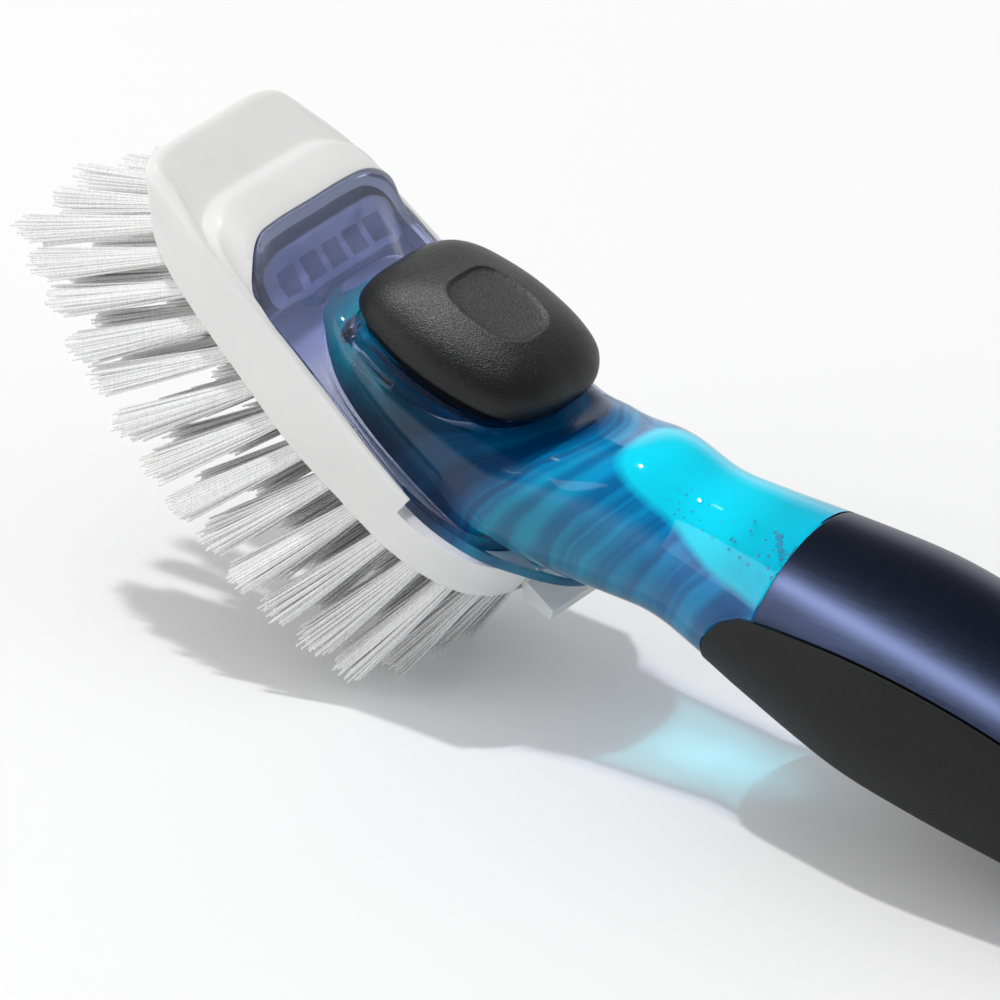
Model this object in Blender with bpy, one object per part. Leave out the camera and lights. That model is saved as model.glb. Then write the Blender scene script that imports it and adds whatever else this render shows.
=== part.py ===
"""Soap-dispensing brush: a clear soap handle with a thumb pump and a clip-on bristle head.

The brush is drawn in the frame of its head: X runs from the toe to the handle, Z points
out of the thumb button, and the bristles hang below z = 0. All of it hangs from one empty,
which leans the brush back until it stands on its rear bristles and the end of the grip.
"""
import math
import random

import bmesh
import bpy
from mathutils import Matrix, Vector

# Head block
HEAD_FRONT = -0.0488
HEAD_REAR = 0.0508
HEAD_HALF_WIDTH = 0.0263
HEAD_TOP_HALF_WIDTH = 0.0256
TOE_UNDERCUT = 0.0064
TOE_HEIGHT = 0.0116
RIM_HEIGHT = 0.0126
COLLAR_HEIGHT = 0.0176
COLLAR_SHOULDER = 0.0150
COLLAR_FOOT_FRONT = -0.0361
COLLAR_CREST_FRONT = -0.0337
COLLAR_CREST_REAR = -0.0130
NOTCH_START = 0.0285
NOTCH_HEIGHT = 0.0086
HEAD_FLOOR = 0.0040
EDGE_ROUND = 0.0012
# Plan outlines of the head's top edge, its foot and its collar: length share, half width share
HEAD_SHARES = (
    (0.000, 0.00), (0.000, 0.40), (0.006, 0.61), (0.030, 0.76), (0.100, 0.83), (0.200, 0.91),
    (0.340, 0.935), (0.520, 0.97), (0.690, 1.00), (0.820, 0.96), (0.915, 0.76), (0.980, 0.42), (1.000, 0.00),
)
FOOT_SHARES = (
    (0.000, 0.00), (0.000, 0.34), (0.010, 0.54), (0.038, 0.68), (0.110, 0.80), (0.210, 0.875),
    (0.360, 0.94), (0.520, 1.00), (0.660, 0.975), (0.800, 0.925), (0.915, 0.74), (0.980, 0.44), (1.000, 0.00),
)
COLLAR_SHARES = (
    (0.000, 0.00), (0.000, 0.40), (0.008, 0.62), (0.035, 0.80), (0.085, 0.905), (0.170, 0.935),
    (0.310, 0.945), (0.480, 0.97), (0.660, 1.00), (0.800, 0.96), (0.905, 0.76), (0.975, 0.42), (1.000, 0.00),
)

# Brim and window of the clear body
BRIM_FRONT = -0.0249
BRIM_REAR = 0.0585
BRIM_HALF_WIDTH = 0.0243
BRIM_THICKNESS = 0.0022
BRIM_SHARES = (
    (0.000, 0.00), (0.000, 0.40), (0.010, 0.66), (0.055, 0.84), (0.140, 0.915), (0.270, 0.935),
    (0.420, 0.97), (0.560, 1.00), (0.690, 0.98), (0.810, 0.82), (0.900, 0.56), (0.970, 0.28), (1.000, 0.00),
)
# length share, half width share of the skirt under the brim
SKIRT_SHARES = (
    (0.000, 0.00), (0.000, 0.40), (0.010, 0.66), (0.055, 0.84), (0.140, 0.915), (0.270, 0.935),
    (0.420, 0.97), (0.560, 1.00), (0.700, 0.985), (0.820, 0.90), (0.920, 0.70), (0.980, 0.38), (1.000, 0.00),
)
SKIRT_FRONT = -0.0233
SKIRT_REAR = 0.0466
SKIRT_HALF_WIDTH = 0.0225
SKIRT_BASE = 0.0043
WINDOW_CROWN = 0.0008
WINDOW_INSET = 0.0060

# Dry bay under the window
BAY_ROOF = 0.0016
BAY_HALF_WIDTH = 0.0185
BAY_FLOOR = 0.0018
BAY_SLOTS = 5
BAY_RIB = 0.0016
# length share, half width share
BAY_SHARES = (
    (0.00, 0.00), (0.00, 0.52), (0.05, 0.80), (0.25, 0.98), (0.60, 1.00), (0.92, 0.97), (1.00, 0.80), (1.00, 0.00),
)

# Soap chamber, neck and handle
CHAMBER_FRONT = -0.0095
CHAMBER_LENGTH = 0.0535
CHAMBER_HALF_WIDTH = 0.0196
CHAMBER_HEIGHT = 0.0332
WALL = 0.0022
# length share, half width share, squareness share
CHAMBER_SHARES = (
    (0.000, 0.44, 1.00), (0.018, 0.56, 1.00), (0.055, 0.67, 1.00), (0.120, 0.785, 1.00), (0.220, 0.90, 1.00),
    (0.380, 0.975, 1.00), (0.580, 1.00, 0.96), (0.790, 0.97, 0.86), (0.900, 0.92, 0.76), (1.000, 0.86, 0.66),
)
SQUARENESS = 4.2
NECK_X = 0.0580
NECK_Z = 0.0314
HANDLE_ANGLE = math.radians(24.3)
HANDLE_RADIUS = 0.0214
HANDLE_LENGTH = 0.1260
HEEL_LIFT = 0.0030
# share of the handle's length, share of its largest radius
HANDLE_SHARES = (
    (0.000, 0.733), (0.075, 0.690), (0.159, 0.755), (0.254, 0.851), (0.413, 0.980),
    (0.556, 0.985), (0.714, 0.941), (0.857, 0.885), (0.952, 0.872), (1.000, 0.868),
)
SLEEVE_START = 0.0320
SLEEVE_THICKNESS = 0.0008
GRIP_THICKNESS = 0.0030
GRIP_PROUD = 0.0003
# share of the handle's length, grip top as a share of the local radius
GRIP_EDGE_SHARES = (
    (0.1706, -0.97), (0.1720, -0.75), (0.178, -0.40), (0.191, -0.12), (0.215, 0.10), (0.262, 0.28),
    (0.413, 0.45), (0.600, 0.50), (0.800, 0.44), (1.000, 0.36),
)

# Fill end
COLLAR_LENGTH = 0.0026
COLLAR_WIDTH = 0.0074
FILL_NECK_WALL = 0.0020
FILL_NECK_LENGTH = 0.0085
CAP_WALL = 0.0038
CAP_LENGTH = 0.0098
CAP_ROUND = 0.0035
CAP_FACE_SHARE = 0.62
SEAL_THICKNESS = 0.0012

# Thumb button
BUTTON_FRONT = -0.0063
BUTTON_REAR = 0.0334
BUTTON_HALF_WIDTH = 0.0176
BUTTON_SLOPE = 0.27
BUTTON_CROWN = 0.0086
BUTTON_RIM_THICKNESS = 0.0022
BUTTON_TRAVEL = 0.0030
BUTTON_SKIRT = 0.0054
BUTTON_OVERHANG = 0.0039
BUTTON_WALL = 0.0016
# length share, half width share
BUTTON_SHARES = (
    (0.000, 0.00), (0.004, 0.36), (0.040, 0.66), (0.130, 0.85), (0.270, 0.95), (0.430, 1.00),
    (0.600, 0.985), (0.750, 0.92), (0.880, 0.78), (0.965, 0.52), (0.996, 0.26), (1.000, 0.00),
)
# share of the plan about its middle, share of the crown's rise
BUTTON_CROWN_SHARES = (
    (1.000, 0.08), (1.000, 0.26), (0.970, 0.42), (0.900, 0.60),
    (0.780, 0.77), (0.600, 0.90), (0.380, 0.975), (0.180, 1.00),
)
DIMPLE_RADIUS = 0.0068
DIMPLE_DEPTH = 0.0010
DIMPLE_FORWARD_SHARE = 0.46
WELL_WALL = 0.0010
WELL_DEPTH = 0.0088
CARRIER_THICKNESS = 0.0012

# Pump
PUMP_X = 0.0145
BORE_RADIUS = 0.0073
BARREL_WALL = 0.0013
BARREL_FLOOR = 0.0011
BASE_PLATE = 0.0019
PISTON_LIP = 0.0005
SEAL_HEIGHT = 0.0010
SEAL_DEPTH = 0.0016
GLAND_COLLAR = 0.0009
GLAND_FLANGE = 0.0008
ROD_RADIUS = 0.0030
NOZZLE_RADIUS = 0.0040
NOZZLE_WALL = 0.0008
NOZZLE_FLANGE = 0.0008
NOZZLE_FLANGE_RADIUS = 0.0065
NOZZLE_REACH = 0.0050
SEAL_SEAT_RADIUS = 0.0062
SEAL_SEAT_DEPTH = 0.0012
OUTLET_RADIUS = 0.0020
INLET_RADIUS = 0.0013
INLET_FLAP = 0.0005
SPRING_RADIUS = 0.0051
SPRING_WIRE = 0.0006
SPRING_CURLS = 3
SPRING_ROOM = 0.0002
VALVE_WALL = 0.0007

# Latch
LATCH_HALF_WIDTH = 0.0068
LATCH_PIN_X = 0.0485
LATCH_PIN_Z = 0.0042
LATCH_PIN_RADIUS = 0.0009
LATCH_BOSS = 0.0020
LATCH_THICKNESS = 0.0018
LATCH_TAB_REACH = 0.0098
LATCH_TAB_HEIGHT = 0.0042
LATCH_TOP = 0.0086

# Bristles
BRISTLE_LENGTH = 0.0300
BRISTLE_RADIUS = 0.00055
BRISTLE_SIDES = 3
STRANDS_IN_A_TUFT = 4
TUFT_ROOT = 0.0011
TUFT_TIP = 0.0026
TUFT_SPACING = 0.0070
TUFT_ROW_STEP = 0.0062
TUFT_LEAST_SHARE = 0.83
TUFT_EDGE = 0.0046
BACKING_THICKNESS = 0.0018
BACKING_INSET = 0.0022
BRISTLE_RAGGED = 0.0011
TOE_LEAN = math.radians(42)
SIDE_LEAN = math.radians(15)
LEAN_POWER = 1.3
STAND_CUT = 0.0005

# Clearances
GAP = 0.0003
RUN = 0.0004
OVERRUN = 0.0040

HEAD_LENGTH = HEAD_REAR - HEAD_FRONT
FOOT_FRONT = HEAD_FRONT + TOE_UNDERCUT
GRIP_NOSE = GRIP_EDGE_SHARES[0][0] * HANDLE_LENGTH
HANDLE_AXIS = Vector((math.cos(HANDLE_ANGLE), 0, math.sin(HANDLE_ANGLE)))
HANDLE_NORMAL = Vector((-math.sin(HANDLE_ANGLE), 0, math.cos(HANDLE_ANGLE)))
NECK = Vector((NECK_X, 0, NECK_Z))
SIDE = Vector((0, 1, 0))
BASE_TOP = SKIRT_BASE + BASE_PLATE
BAY_FRONT = SKIRT_FRONT + WALL
BAY_REAR = CHAMBER_FRONT - WALL
HANDLE_END_RADIUS = HANDLE_SHARES[-1][1] * HANDLE_RADIUS
FILL_NECK_RADIUS = HANDLE_END_RADIUS - COLLAR_WIDTH
FILL_NECK_BORE = FILL_NECK_RADIUS - FILL_NECK_WALL
CAP_RADIUS = FILL_NECK_RADIUS + CAP_WALL

# Heights up the pump's axis
NOZZLE_FLANGE_LOW = BASE_TOP + GAP
BARREL_LOW = NOZZLE_FLANGE_LOW + NOZZLE_FLANGE + GAP
FLAP_LOW = BARREL_LOW + BARREL_FLOOR + GAP
PISTON_LOW = FLAP_LOW + INLET_FLAP + BUTTON_TRAVEL + GAP
PISTON_TOP = PISTON_LOW + 2 * PISTON_LIP + SEAL_HEIGHT + 2 * GAP
GLAND_LOW = PISTON_TOP + GAP
BARREL_TOP = GLAND_LOW + GLAND_COLLAR
SPRING_LOW = BARREL_TOP + GAP + GLAND_FLANGE + GAP
SPRING_TOP = SPRING_LOW + BUTTON_TRAVEL + (SPRING_CURLS + 1) * SPRING_WIRE + 2 * SPRING_ROOM
BUTTON_RIM_HEIGHT = SPRING_TOP + 2 * GAP + CARRIER_THICKNESS + BUTTON_SLOPE * (SPRING_RADIUS + SPRING_WIRE)
ROD_TOP = BUTTON_RIM_HEIGHT - BUTTON_SLOPE * (ROD_RADIUS + GAP) - 3 * GAP


def clear_scene():
    for thing in list(bpy.data.objects):
        bpy.data.objects.remove(thing, do_unlink=True)


def make_material(name, colour, roughness, metallic=0.0, alpha=1.0):
    """One Principled material for one sub-part."""
    material = bpy.data.materials.new(name)
    material.use_nodes = True
    shader = material.node_tree.nodes["Principled BSDF"]
    shader.inputs["Base Color"].default_value = (*colour, 1.0)
    shader.inputs["Roughness"].default_value = roughness
    shader.inputs["Metallic"].default_value = metallic
    shader.inputs["Alpha"].default_value = alpha
    return material


def add_object(name, bm, parent, material=None, smooth=True):
    """Put a bmesh into the scene under a parent, its normals facing out."""
    bmesh.ops.recalc_face_normals(bm, faces=bm.faces)
    mesh = bpy.data.meshes.new(name)
    bm.to_mesh(mesh)
    bm.free()
    if smooth:
        mesh.shade_smooth()
        mesh.set_sharp_from_angle(angle=math.radians(35))
    thing = bpy.data.objects.new(name, mesh)
    bpy.context.scene.collection.objects.link(thing)
    thing.parent = parent
    if material:
        mesh.materials.append(material)
    return thing


def add_empty(name, parent=None, place=(0, 0, 0), tilt=0.0):
    """An empty that carries pieces; tilt is a turn about Y."""
    empty = bpy.data.objects.new(name, None)
    bpy.context.scene.collection.objects.link(empty)
    empty.parent = parent
    empty.location = place
    empty.rotation_euler = (0, tilt, 0)
    return empty


def use_as_cutter(thing):
    thing.hide_render = True
    thing.display_type = "WIRE"
    return thing


def combine(target, other, operation="DIFFERENCE", solver="EXACT"):
    """Boolean of target with a hidden guide solid."""
    use_as_cutter(other)
    step = target.modifiers.new(other.name, "BOOLEAN")
    step.operation = operation
    step.solver = solver
    step.object = other


def combine_many(target, operation, others):
    """Long runs of cuts leave slivers with the exact solver, so they use the manifold one."""
    for other in others:
        combine(target, other, operation, "MANIFOLD")


def catmull(points, steps, closed=False):
    """A smooth curve through points of any dimension, as tuples."""
    count = len(points)
    curve = []
    spans = count if closed else count - 1
    for i in range(spans):
        if closed:
            p0, p1, p2, p3 = (points[(i + k) % count] for k in (-1, 0, 1, 2))
        else:
            p0, p1 = points[max(i - 1, 0)], points[i]
            p2, p3 = points[i + 1], points[min(i + 2, count - 1)]
        for k in range(steps):
            t = k / steps
            curve.append(tuple(
                0.5 * (2 * b + (c - a) * t + (2 * a - 5 * b + 4 * c - d) * t ** 2
                       + (3 * b - a - 3 * c + d) * t ** 3)
                for a, b, c, d in zip(p0, p1, p2, p3)))
    if not closed:
        curve.append(tuple(points[-1]))
    return curve


def table_value(table, share):
    """Straight-line reading of a two-column table."""
    for (a, va), (b, vb) in zip(table, table[1:]):
        if share <= b:
            return va + (vb - va) * max(share - a, 0) / (b - a)
    return table[-1][1]


def plan_outline(shares, front, rear, half_width, inset=0.0, steps=2):
    """Closed plan outline from a half table of shares, symmetric about the XZ plane."""
    length = rear - front
    near = [(front + u * length, -v * half_width) for u, v in shares]
    far = [(x, -y) for x, y in reversed(near[1:-1])]
    curve = catmull(near + far, steps, closed=True)
    if inset:
        curve = inset_outline(curve, inset)
    return curve


def inset_outline(outline, inset):
    """Move an anticlockwise outline inwards along its normals."""
    moved = []
    count = len(outline)
    for i, (x, y) in enumerate(outline):
        ax, ay = outline[i - 1]
        bx, by = outline[(i + 1) % count]
        size = math.hypot(bx - ax, by - ay)
        moved.append((x - (by - ay) / size * inset, y + (bx - ax) / size * inset))
    return moved


def shrink_outline(outline, share):
    """Scale an outline about the middle of its length."""
    xs = [x for x, y in outline]
    middle = (min(xs) + max(xs)) / 2
    return [(middle + (x - middle) * share, y * share) for x, y in outline]


def lift_outline(outline, height):
    """Outline points at a height, which is a number or a function of x."""
    if callable(height):
        return [Vector((x, y, height(x))) for x, y in outline]
    return [Vector((x, y, height)) for x, y in outline]


def loft(name, rings, parent, material=None, smooth=True, ends="fans"):
    """Closed solid through rings of equal length: ends as fans, as one face each, or joined to each other."""
    bm = bmesh.new()
    rows = [[bm.verts.new(p) for p in ring] for ring in rings]
    pairs = list(zip(rows, rows[1:]))
    if ends == "joined":
        pairs.append((rows[-1], rows[0]))
    for a, b in pairs:
        for i in range(len(a)):
            j = (i + 1) % len(a)
            bm.faces.new((a[i], a[j], b[j], b[i]))
    if ends == "faces":
        bm.faces.new(rows[0])
        bm.faces.new(rows[-1])
    if ends == "fans":
        for row, ring in ((rows[0], rings[0]), (rows[-1], rings[-1])):
            middle = bm.verts.new(sum(ring, Vector()) / len(ring))
            for i in range(len(row)):
                bm.faces.new((row[i], row[(i + 1) % len(row)], middle))
    return add_object(name, bm, parent, material, smooth)


def turned(name, profile, parent, material=None, sides=20):
    """Solid of revolution about local Z from (radius, height) points, closed on itself."""
    bm = bmesh.new()
    rows = []
    for radius, height in profile:
        if radius == 0:
            rows.append([bm.verts.new((0, 0, height))] * sides)
            continue
        rows.append([
            bm.verts.new((radius * math.cos(math.tau * i / sides), radius * math.sin(math.tau * i / sides), height))
            for i in range(sides)])
    pairs = list(zip(rows, rows[1:]))
    if profile[0][0] != 0:
        pairs.append((rows[-1], rows[0]))
    for a, b in pairs:
        for i in range(sides):
            j = (i + 1) % sides
            corners = []
            for vertex in (a[i], a[j], b[j], b[i]):
                if vertex not in corners:
                    corners.append(vertex)
            if len(corners) > 2:
                bm.faces.new(corners)
    return add_object(name, bm, parent, material)


def tube_profile(inner, outer, low, high):
    return ((inner, low), (outer, low), (outer, high), (inner, high))


def disc_profile(radius, low, high):
    return ((0, low), (radius, low), (radius, high), (0, high))


def box(name, low, high, parent, material=None):
    bm = bmesh.new()
    size = Vector(high) - Vector(low)
    middle = (Vector(high) + Vector(low)) / 2
    bmesh.ops.create_cube(bm, size=1, matrix=Matrix.Translation(middle) @ Matrix.Diagonal((*size, 1)))
    return add_object(name, bm, parent, material, smooth=False)


def prism_along_y(name, outline, half_width, parent, material=None):
    """Side profile in XZ pushed out to both sides."""
    rings = [[Vector((x, y, z)) for x, z in outline] for y in (-half_width, half_width)]
    return loft(name, rings, parent, material, smooth=False, ends="faces")


def smooth_step(low, high, value):
    t = min(max((value - low) / (high - low), 0), 1)
    return t * t * (3 - 2 * t)


def edge_height(x):
    """Height of the brim's edge: raised at the window, level along the sides."""
    return COLLAR_HEIGHT + (RIM_HEIGHT - COLLAR_HEIGHT) * smooth_step(BRIM_FRONT, COLLAR_CREST_REAR, x)


def toe_height(x):
    """Height of the head's outer edge: low at the toe, the rim's height along the sides."""
    return TOE_HEIGHT + (RIM_HEIGHT - TOE_HEIGHT) * smooth_step(HEAD_FRONT, COLLAR_FOOT_FRONT, x)


def shoulder_height(x):
    """Height of the crest that the toe's plateau steps up to."""
    return COLLAR_SHOULDER + (RIM_HEIGHT - COLLAR_SHOULDER) * smooth_step(COLLAR_CREST_FRONT, COLLAR_CREST_REAR, x)


def roof_height(x):
    """Roof of the chamber: clear of the pressed button under it, then up to the neck."""
    under = button_rim(min(x, BUTTON_REAR)) - BUTTON_TRAVEL - 2 * RUN
    climb = smooth_step(BUTTON_REAR, CHAMBER_FRONT + CHAMBER_LENGTH, x)
    return under + (SKIRT_BASE + CHAMBER_HEIGHT - under) * climb


def superellipse(count, power):
    """Unit superellipse points, starting at +Y."""
    points = []
    for i in range(count):
        c, s = math.cos(math.tau * i / count), math.sin(math.tau * i / count)
        points.append((math.copysign(abs(c) ** (2 / power), c), math.copysign(abs(s) ** (2 / power), s)))
    return points


def body_stations(inset, floor, tail=0.0, end_wall=0.0):
    """Section values of the chamber, neck and tank tube: x, z, tilt, half width, half height, power."""
    stations = []
    for u, width, square in CHAMBER_SHARES:
        x = CHAMBER_FRONT + inset + u * (CHAMBER_LENGTH - inset)
        top = roof_height(x) - inset
        bottom = floor
        if u == 1:
            bottom = max(floor, SKIRT_BASE + HEEL_LIFT + inset)
        stations.append((x, (top + bottom) / 2, 0, width * CHAMBER_HALF_WIDTH - inset,
                         (top - bottom) / 2, SQUARENESS * square))
    for u, share in HANDLE_SHARES:
        along = u * (HANDLE_LENGTH - end_wall)
        shrink = inset + smooth_step(GRIP_NOSE - OVERRUN, SLEEVE_START, along) * tail
        centre = NECK + HANDLE_AXIS * along
        radius = share * HANDLE_RADIUS - shrink
        stations.append((centre.x, centre.z, HANDLE_ANGLE, radius, radius, 2))
    return stations


def section_rings(stations, count, steps):
    """Rings for loft, from section values smoothed along the spine."""
    rings = []
    for x, z, tilt, wide, tall, power in catmull(stations, steps):
        rings.append([
            Vector((x - math.sin(tilt) * tall * b, wide * a, z + math.cos(tilt) * tall * b))
            for a, b in superellipse(count, power)])
    return rings


def inside_rings(inset):
    """Rings of the hollow inside the clear body, open downwards under the chamber."""
    floor = SKIRT_BASE - OVERRUN - WALL + inset
    return section_rings(body_stations(inset, floor, GRIP_THICKNESS + 2 * GAP, inset), 16, 2)


def handle_ring(along, radius, count):
    centre = NECK + HANDLE_AXIS * along
    angles = [math.tau * i / count for i in range(count)]
    return [centre + SIDE * radius * math.cos(a) + HANDLE_NORMAL * radius * math.sin(a) for a in angles]


def handle_radius(along):
    curve = catmull(HANDLE_SHARES, 6)
    return table_value(curve, along / HANDLE_LENGTH) * HANDLE_RADIUS


def spread(start, end, count):
    return [start + (end - start) * k / count for k in range(count + 1)]


def grip_angle(along):
    """Angle, up from the side, of the grip's top edge at a place along the handle."""
    return math.asin(table_value(catmull(GRIP_EDGE_SHARES, 2), along / HANDLE_LENGTH))


def handle_band(name, places, low, high, arc, parent, material=None, lead=0.0, count=10):
    """C-shaped band of the handle's form, moved forward by lead: arc gives its end angles at a place."""
    rings = []
    for along in places:
        first, last = arc(along)
        centre = NECK + HANDLE_AXIS * (along - lead)
        radius = handle_radius(min(along, HANDLE_LENGTH))
        inner = [(radius - low, angle) for angle in spread(first, last, count)]
        outer = [(radius - high, angle) for angle in spread(last, first, count)]
        rings.append([centre + SIDE * r * math.cos(a) + HANDLE_NORMAL * r * math.sin(a) for r, a in inner + outer])
    return loft(name, rings, parent, material, ends="faces")


def handle_tube(name, places, low, high, parent, count=28):
    """Full ring of the handle's form between two insets."""
    def ring(along, inset):
        return handle_ring(along, handle_radius(min(along, HANDLE_LENGTH)) - inset, count)

    rings = [ring(along, low) for along in places] + [ring(along, high) for along in reversed(places)]
    return loft(name, rings, parent, ends="joined")


def grip_arc(grow):
    """End angles of the grip's underside arc, its edges moved out by a clearance."""
    def arc(along):
        edge = grip_angle(along) + grow / HANDLE_RADIUS
        return edge, -math.pi - edge
    return arc


def sleeve_arc(along):
    edge = grip_angle(along) + GAP / HANDLE_RADIUS
    return edge, math.pi - edge


def grip_places():
    """Places along the handle for the grip's sections, close together round its nose."""
    return [u * HANDLE_LENGTH for u, v in catmull(GRIP_EDGE_SHARES, 2)]


def make_materials():
    return {
        "white": make_material("white_plastic", (0.86, 0.86, 0.85), 0.42),
        "nylon": make_material("white_nylon", (0.90, 0.90, 0.89), 0.35),
        "frosted": make_material("frosted_plastic", (0.82, 0.83, 0.84), 0.5),
        "clear": make_material("clear_plastic", (0.62, 0.66, 0.86), 0.06, alpha=0.4),
        "clear_base": make_material("clear_base_plastic", (0.55, 0.58, 0.80), 0.12, alpha=0.5),
        "soap": make_material("blue_soap", (0.00, 0.62, 0.85), 0.05, alpha=0.7),
        "black": make_material("black_soft_plastic", (0.018, 0.018, 0.019), 0.55),
        "grip": make_material("black_grip_rubber", (0.014, 0.014, 0.015), 0.68),
        "steel": make_material("dark_blue_metal", (0.035, 0.045, 0.11), 0.25, metallic=0.9),
        "grey": make_material("grey_plastic", (0.35, 0.36, 0.38), 0.5),
        "seal": make_material("seal_rubber", (0.10, 0.10, 0.11), 0.7),
        "spring": make_material("spring_steel", (0.60, 0.61, 0.63), 0.3, metallic=1.0),
        "valve": make_material("valve_silicone", (0.80, 0.82, 0.84), 0.45, alpha=0.8),
        "pump": make_material("pump_plastic", (0.72, 0.76, 0.82), 0.3, alpha=0.7),
    }


def brim_pocket(parent):
    """Cutters for the ledge under the brim and for the deeper pocket that takes the skirt."""
    inner = plan_outline(SKIRT_SHARES, SKIRT_FRONT - GAP, SKIRT_REAR + GAP, SKIRT_HALF_WIDTH + GAP)
    outer = plan_outline(BRIM_SHARES, BRIM_FRONT - GAP, BRIM_REAR + GAP, BRIM_HALF_WIDTH + GAP)
    top = COLLAR_HEIGHT + OVERRUN

    def ledge_height(x):
        return edge_height(x) - BRIM_THICKNESS - GAP

    ledge_rings = [lift_outline(inner, ledge_height), lift_outline(outer, ledge_height), lift_outline(outer, top)]
    ledge = loft("cut_brim_pocket", ledge_rings, parent, ends="faces")
    pocket_rings = [lift_outline(inner, HEAD_FLOOR), lift_outline(inner, top + OVERRUN)]
    pocket = loft("cut_skirt_pocket", pocket_rings, parent, ends="faces")
    return ledge, pocket


def make_head_block(head, materials):
    """White block: skirt, toe plateau, collar round the window, pocket and heel slot."""
    foot = plan_outline(FOOT_SHARES, FOOT_FRONT, HEAD_REAR, HEAD_HALF_WIDTH)
    edge = plan_outline(HEAD_SHARES, HEAD_FRONT, HEAD_REAR, HEAD_TOP_HALF_WIDTH)
    collar_width = HEAD_TOP_HALF_WIDTH - EDGE_ROUND
    collar_rear = HEAD_REAR - EDGE_ROUND
    collar_foot = plan_outline(COLLAR_SHARES, COLLAR_FOOT_FRONT, collar_rear, collar_width, GAP / 3)
    collar_crest = plan_outline(COLLAR_SHARES, COLLAR_CREST_FRONT, collar_rear, collar_width, 2 * GAP / 3)
    lip = plan_outline(BRIM_SHARES, BRIM_FRONT - 2 * GAP, collar_rear, BRIM_HALF_WIDTH - GAP)
    block = loft("head_block", [
        lift_outline(inset_outline(foot, EDGE_ROUND / 2), 0),
        lift_outline(foot, EDGE_ROUND),
        lift_outline(edge, lambda x: toe_height(x) - 2 * EDGE_ROUND),
        lift_outline(inset_outline(edge, EDGE_ROUND / 3), lambda x: toe_height(x) - EDGE_ROUND / 2),
        lift_outline(inset_outline(edge, EDGE_ROUND), toe_height),
        lift_outline(collar_foot, toe_height),
        lift_outline(collar_crest, shoulder_height),
        lift_outline(lip, edge_height),
    ], head, materials["white"])

    ledge, skirt_pocket = brim_pocket(head)
    wide = HEAD_HALF_WIDTH + OVERRUN
    notch = box("cut_side_notch", (NOTCH_START, -wide, NOTCH_HEIGHT),
                (HEAD_REAR + OVERRUN, wide, COLLAR_HEIGHT + OVERRUN), head)
    backing = inset_outline(foot, BACKING_INSET - GAP)
    recess = loft("cut_backing_recess", [
        lift_outline(backing, -OVERRUN), lift_outline(backing, BACKING_THICKNESS + GAP)], head, ends="faces")
    nozzle_hole = turned("cut_nozzle_hole", disc_profile(NOZZLE_RADIUS + RUN, -OVERRUN, HEAD_FLOOR + OVERRUN), head)
    nozzle_hole.location.x = PUMP_X
    seat = turned("cut_seal_seat", disc_profile(SEAL_SEAT_RADIUS, HEAD_FLOOR - SEAL_SEAT_DEPTH,
                                                HEAD_FLOOR + OVERRUN), head)
    seat.location.x = PUMP_X
    half = LATCH_HALF_WIDTH + RUN
    slot = box("cut_latch_slot", (LATCH_PIN_X - LATCH_BOSS - RUN, -half, BACKING_THICKNESS),
               (HEAD_REAR + OVERRUN, half, COLLAR_HEIGHT), head)
    relief = box("cut_latch_relief", (HEAD_REAR - BACKING_INSET - GAP, -half, BACKING_THICKNESS - LATCH_BOSS / 2),
                 (HEAD_REAR + 2 * OVERRUN, half, BACKING_THICKNESS + 2 * GAP), head)
    reach = half + LATCH_THICKNESS
    pin_hole = turned("cut_pin_hole", disc_profile(LATCH_PIN_RADIUS + GAP, -reach, reach), head, sides=16)
    pin_hole.rotation_euler.x = math.pi / 2
    pin_hole.location = (LATCH_PIN_X, 0, LATCH_PIN_Z)
    cuts = (ledge, skirt_pocket, notch, recess, nozzle_hole, seat, slot, relief, pin_hole)
    combine_many(block, "DIFFERENCE", cuts)
    return block


def spaced_along(outline, spacing):
    """Points at even steps along a closed outline."""
    lengths = [math.dist(outline[i - 1], outline[i]) for i in range(len(outline))]
    count = round(sum(lengths) / spacing)
    step = sum(lengths) / count
    places = []
    travelled = 0.0
    for i, length in enumerate(lengths):
        a, b = outline[i - 1], outline[i]
        while len(places) < count and travelled + length > len(places) * step:
            t = (len(places) * step - travelled) / length
            places.append((a[0] + (b[0] - a[0]) * t, a[1] + (b[1] - a[1]) * t))
        travelled += length
    return places


def tuft_places():
    """Centres of the tufts: two rows that follow the edge, and straight rows between them."""
    wanted = []
    for inset in (TUFT_EDGE, TUFT_EDGE + TUFT_ROW_STEP):
        outline = plan_outline(FOOT_SHARES, FOOT_FRONT, HEAD_REAR, HEAD_HALF_WIDTH, inset, steps=6)
        wanted.extend(spaced_along(outline, TUFT_SPACING))
    start = FOOT_FRONT + TUFT_EDGE + 2 * TUFT_ROW_STEP
    end = HEAD_REAR - TUFT_EDGE - 2 * TUFT_ROW_STEP
    count = round((end - start) / TUFT_SPACING)
    for row in (-1, 0, 1):
        for k in range(count + 1):
            wanted.append((start + (end - start) * k / count, row * (TUFT_ROW_STEP + TUFT_ROOT)))
    clear = NOZZLE_RADIUS + RUN + TUFT_ROOT + BRISTLE_RADIUS + GAP
    places = []
    for x, y in wanted:
        apart = all(math.dist((x, y), place) > TUFT_LEAST_SHARE * TUFT_SPACING for place in places)
        if apart and math.hypot(x - PUMP_X, y) > clear:
            places.append((x, y))
    return places


def strand_direction(x, y):
    """Toe tufts lean forward, side tufts outward, and heel tufts stand square."""
    heel_share = min(max((HEAD_REAR - x) / HEAD_LENGTH, 0), 1)
    forward = math.tan(TOE_LEAN) * heel_share ** LEAN_POWER
    outward = math.tan(SIDE_LEAN) * y / HEAD_HALF_WIDTH
    return Vector((-forward, outward, -1)).normalized()


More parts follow.
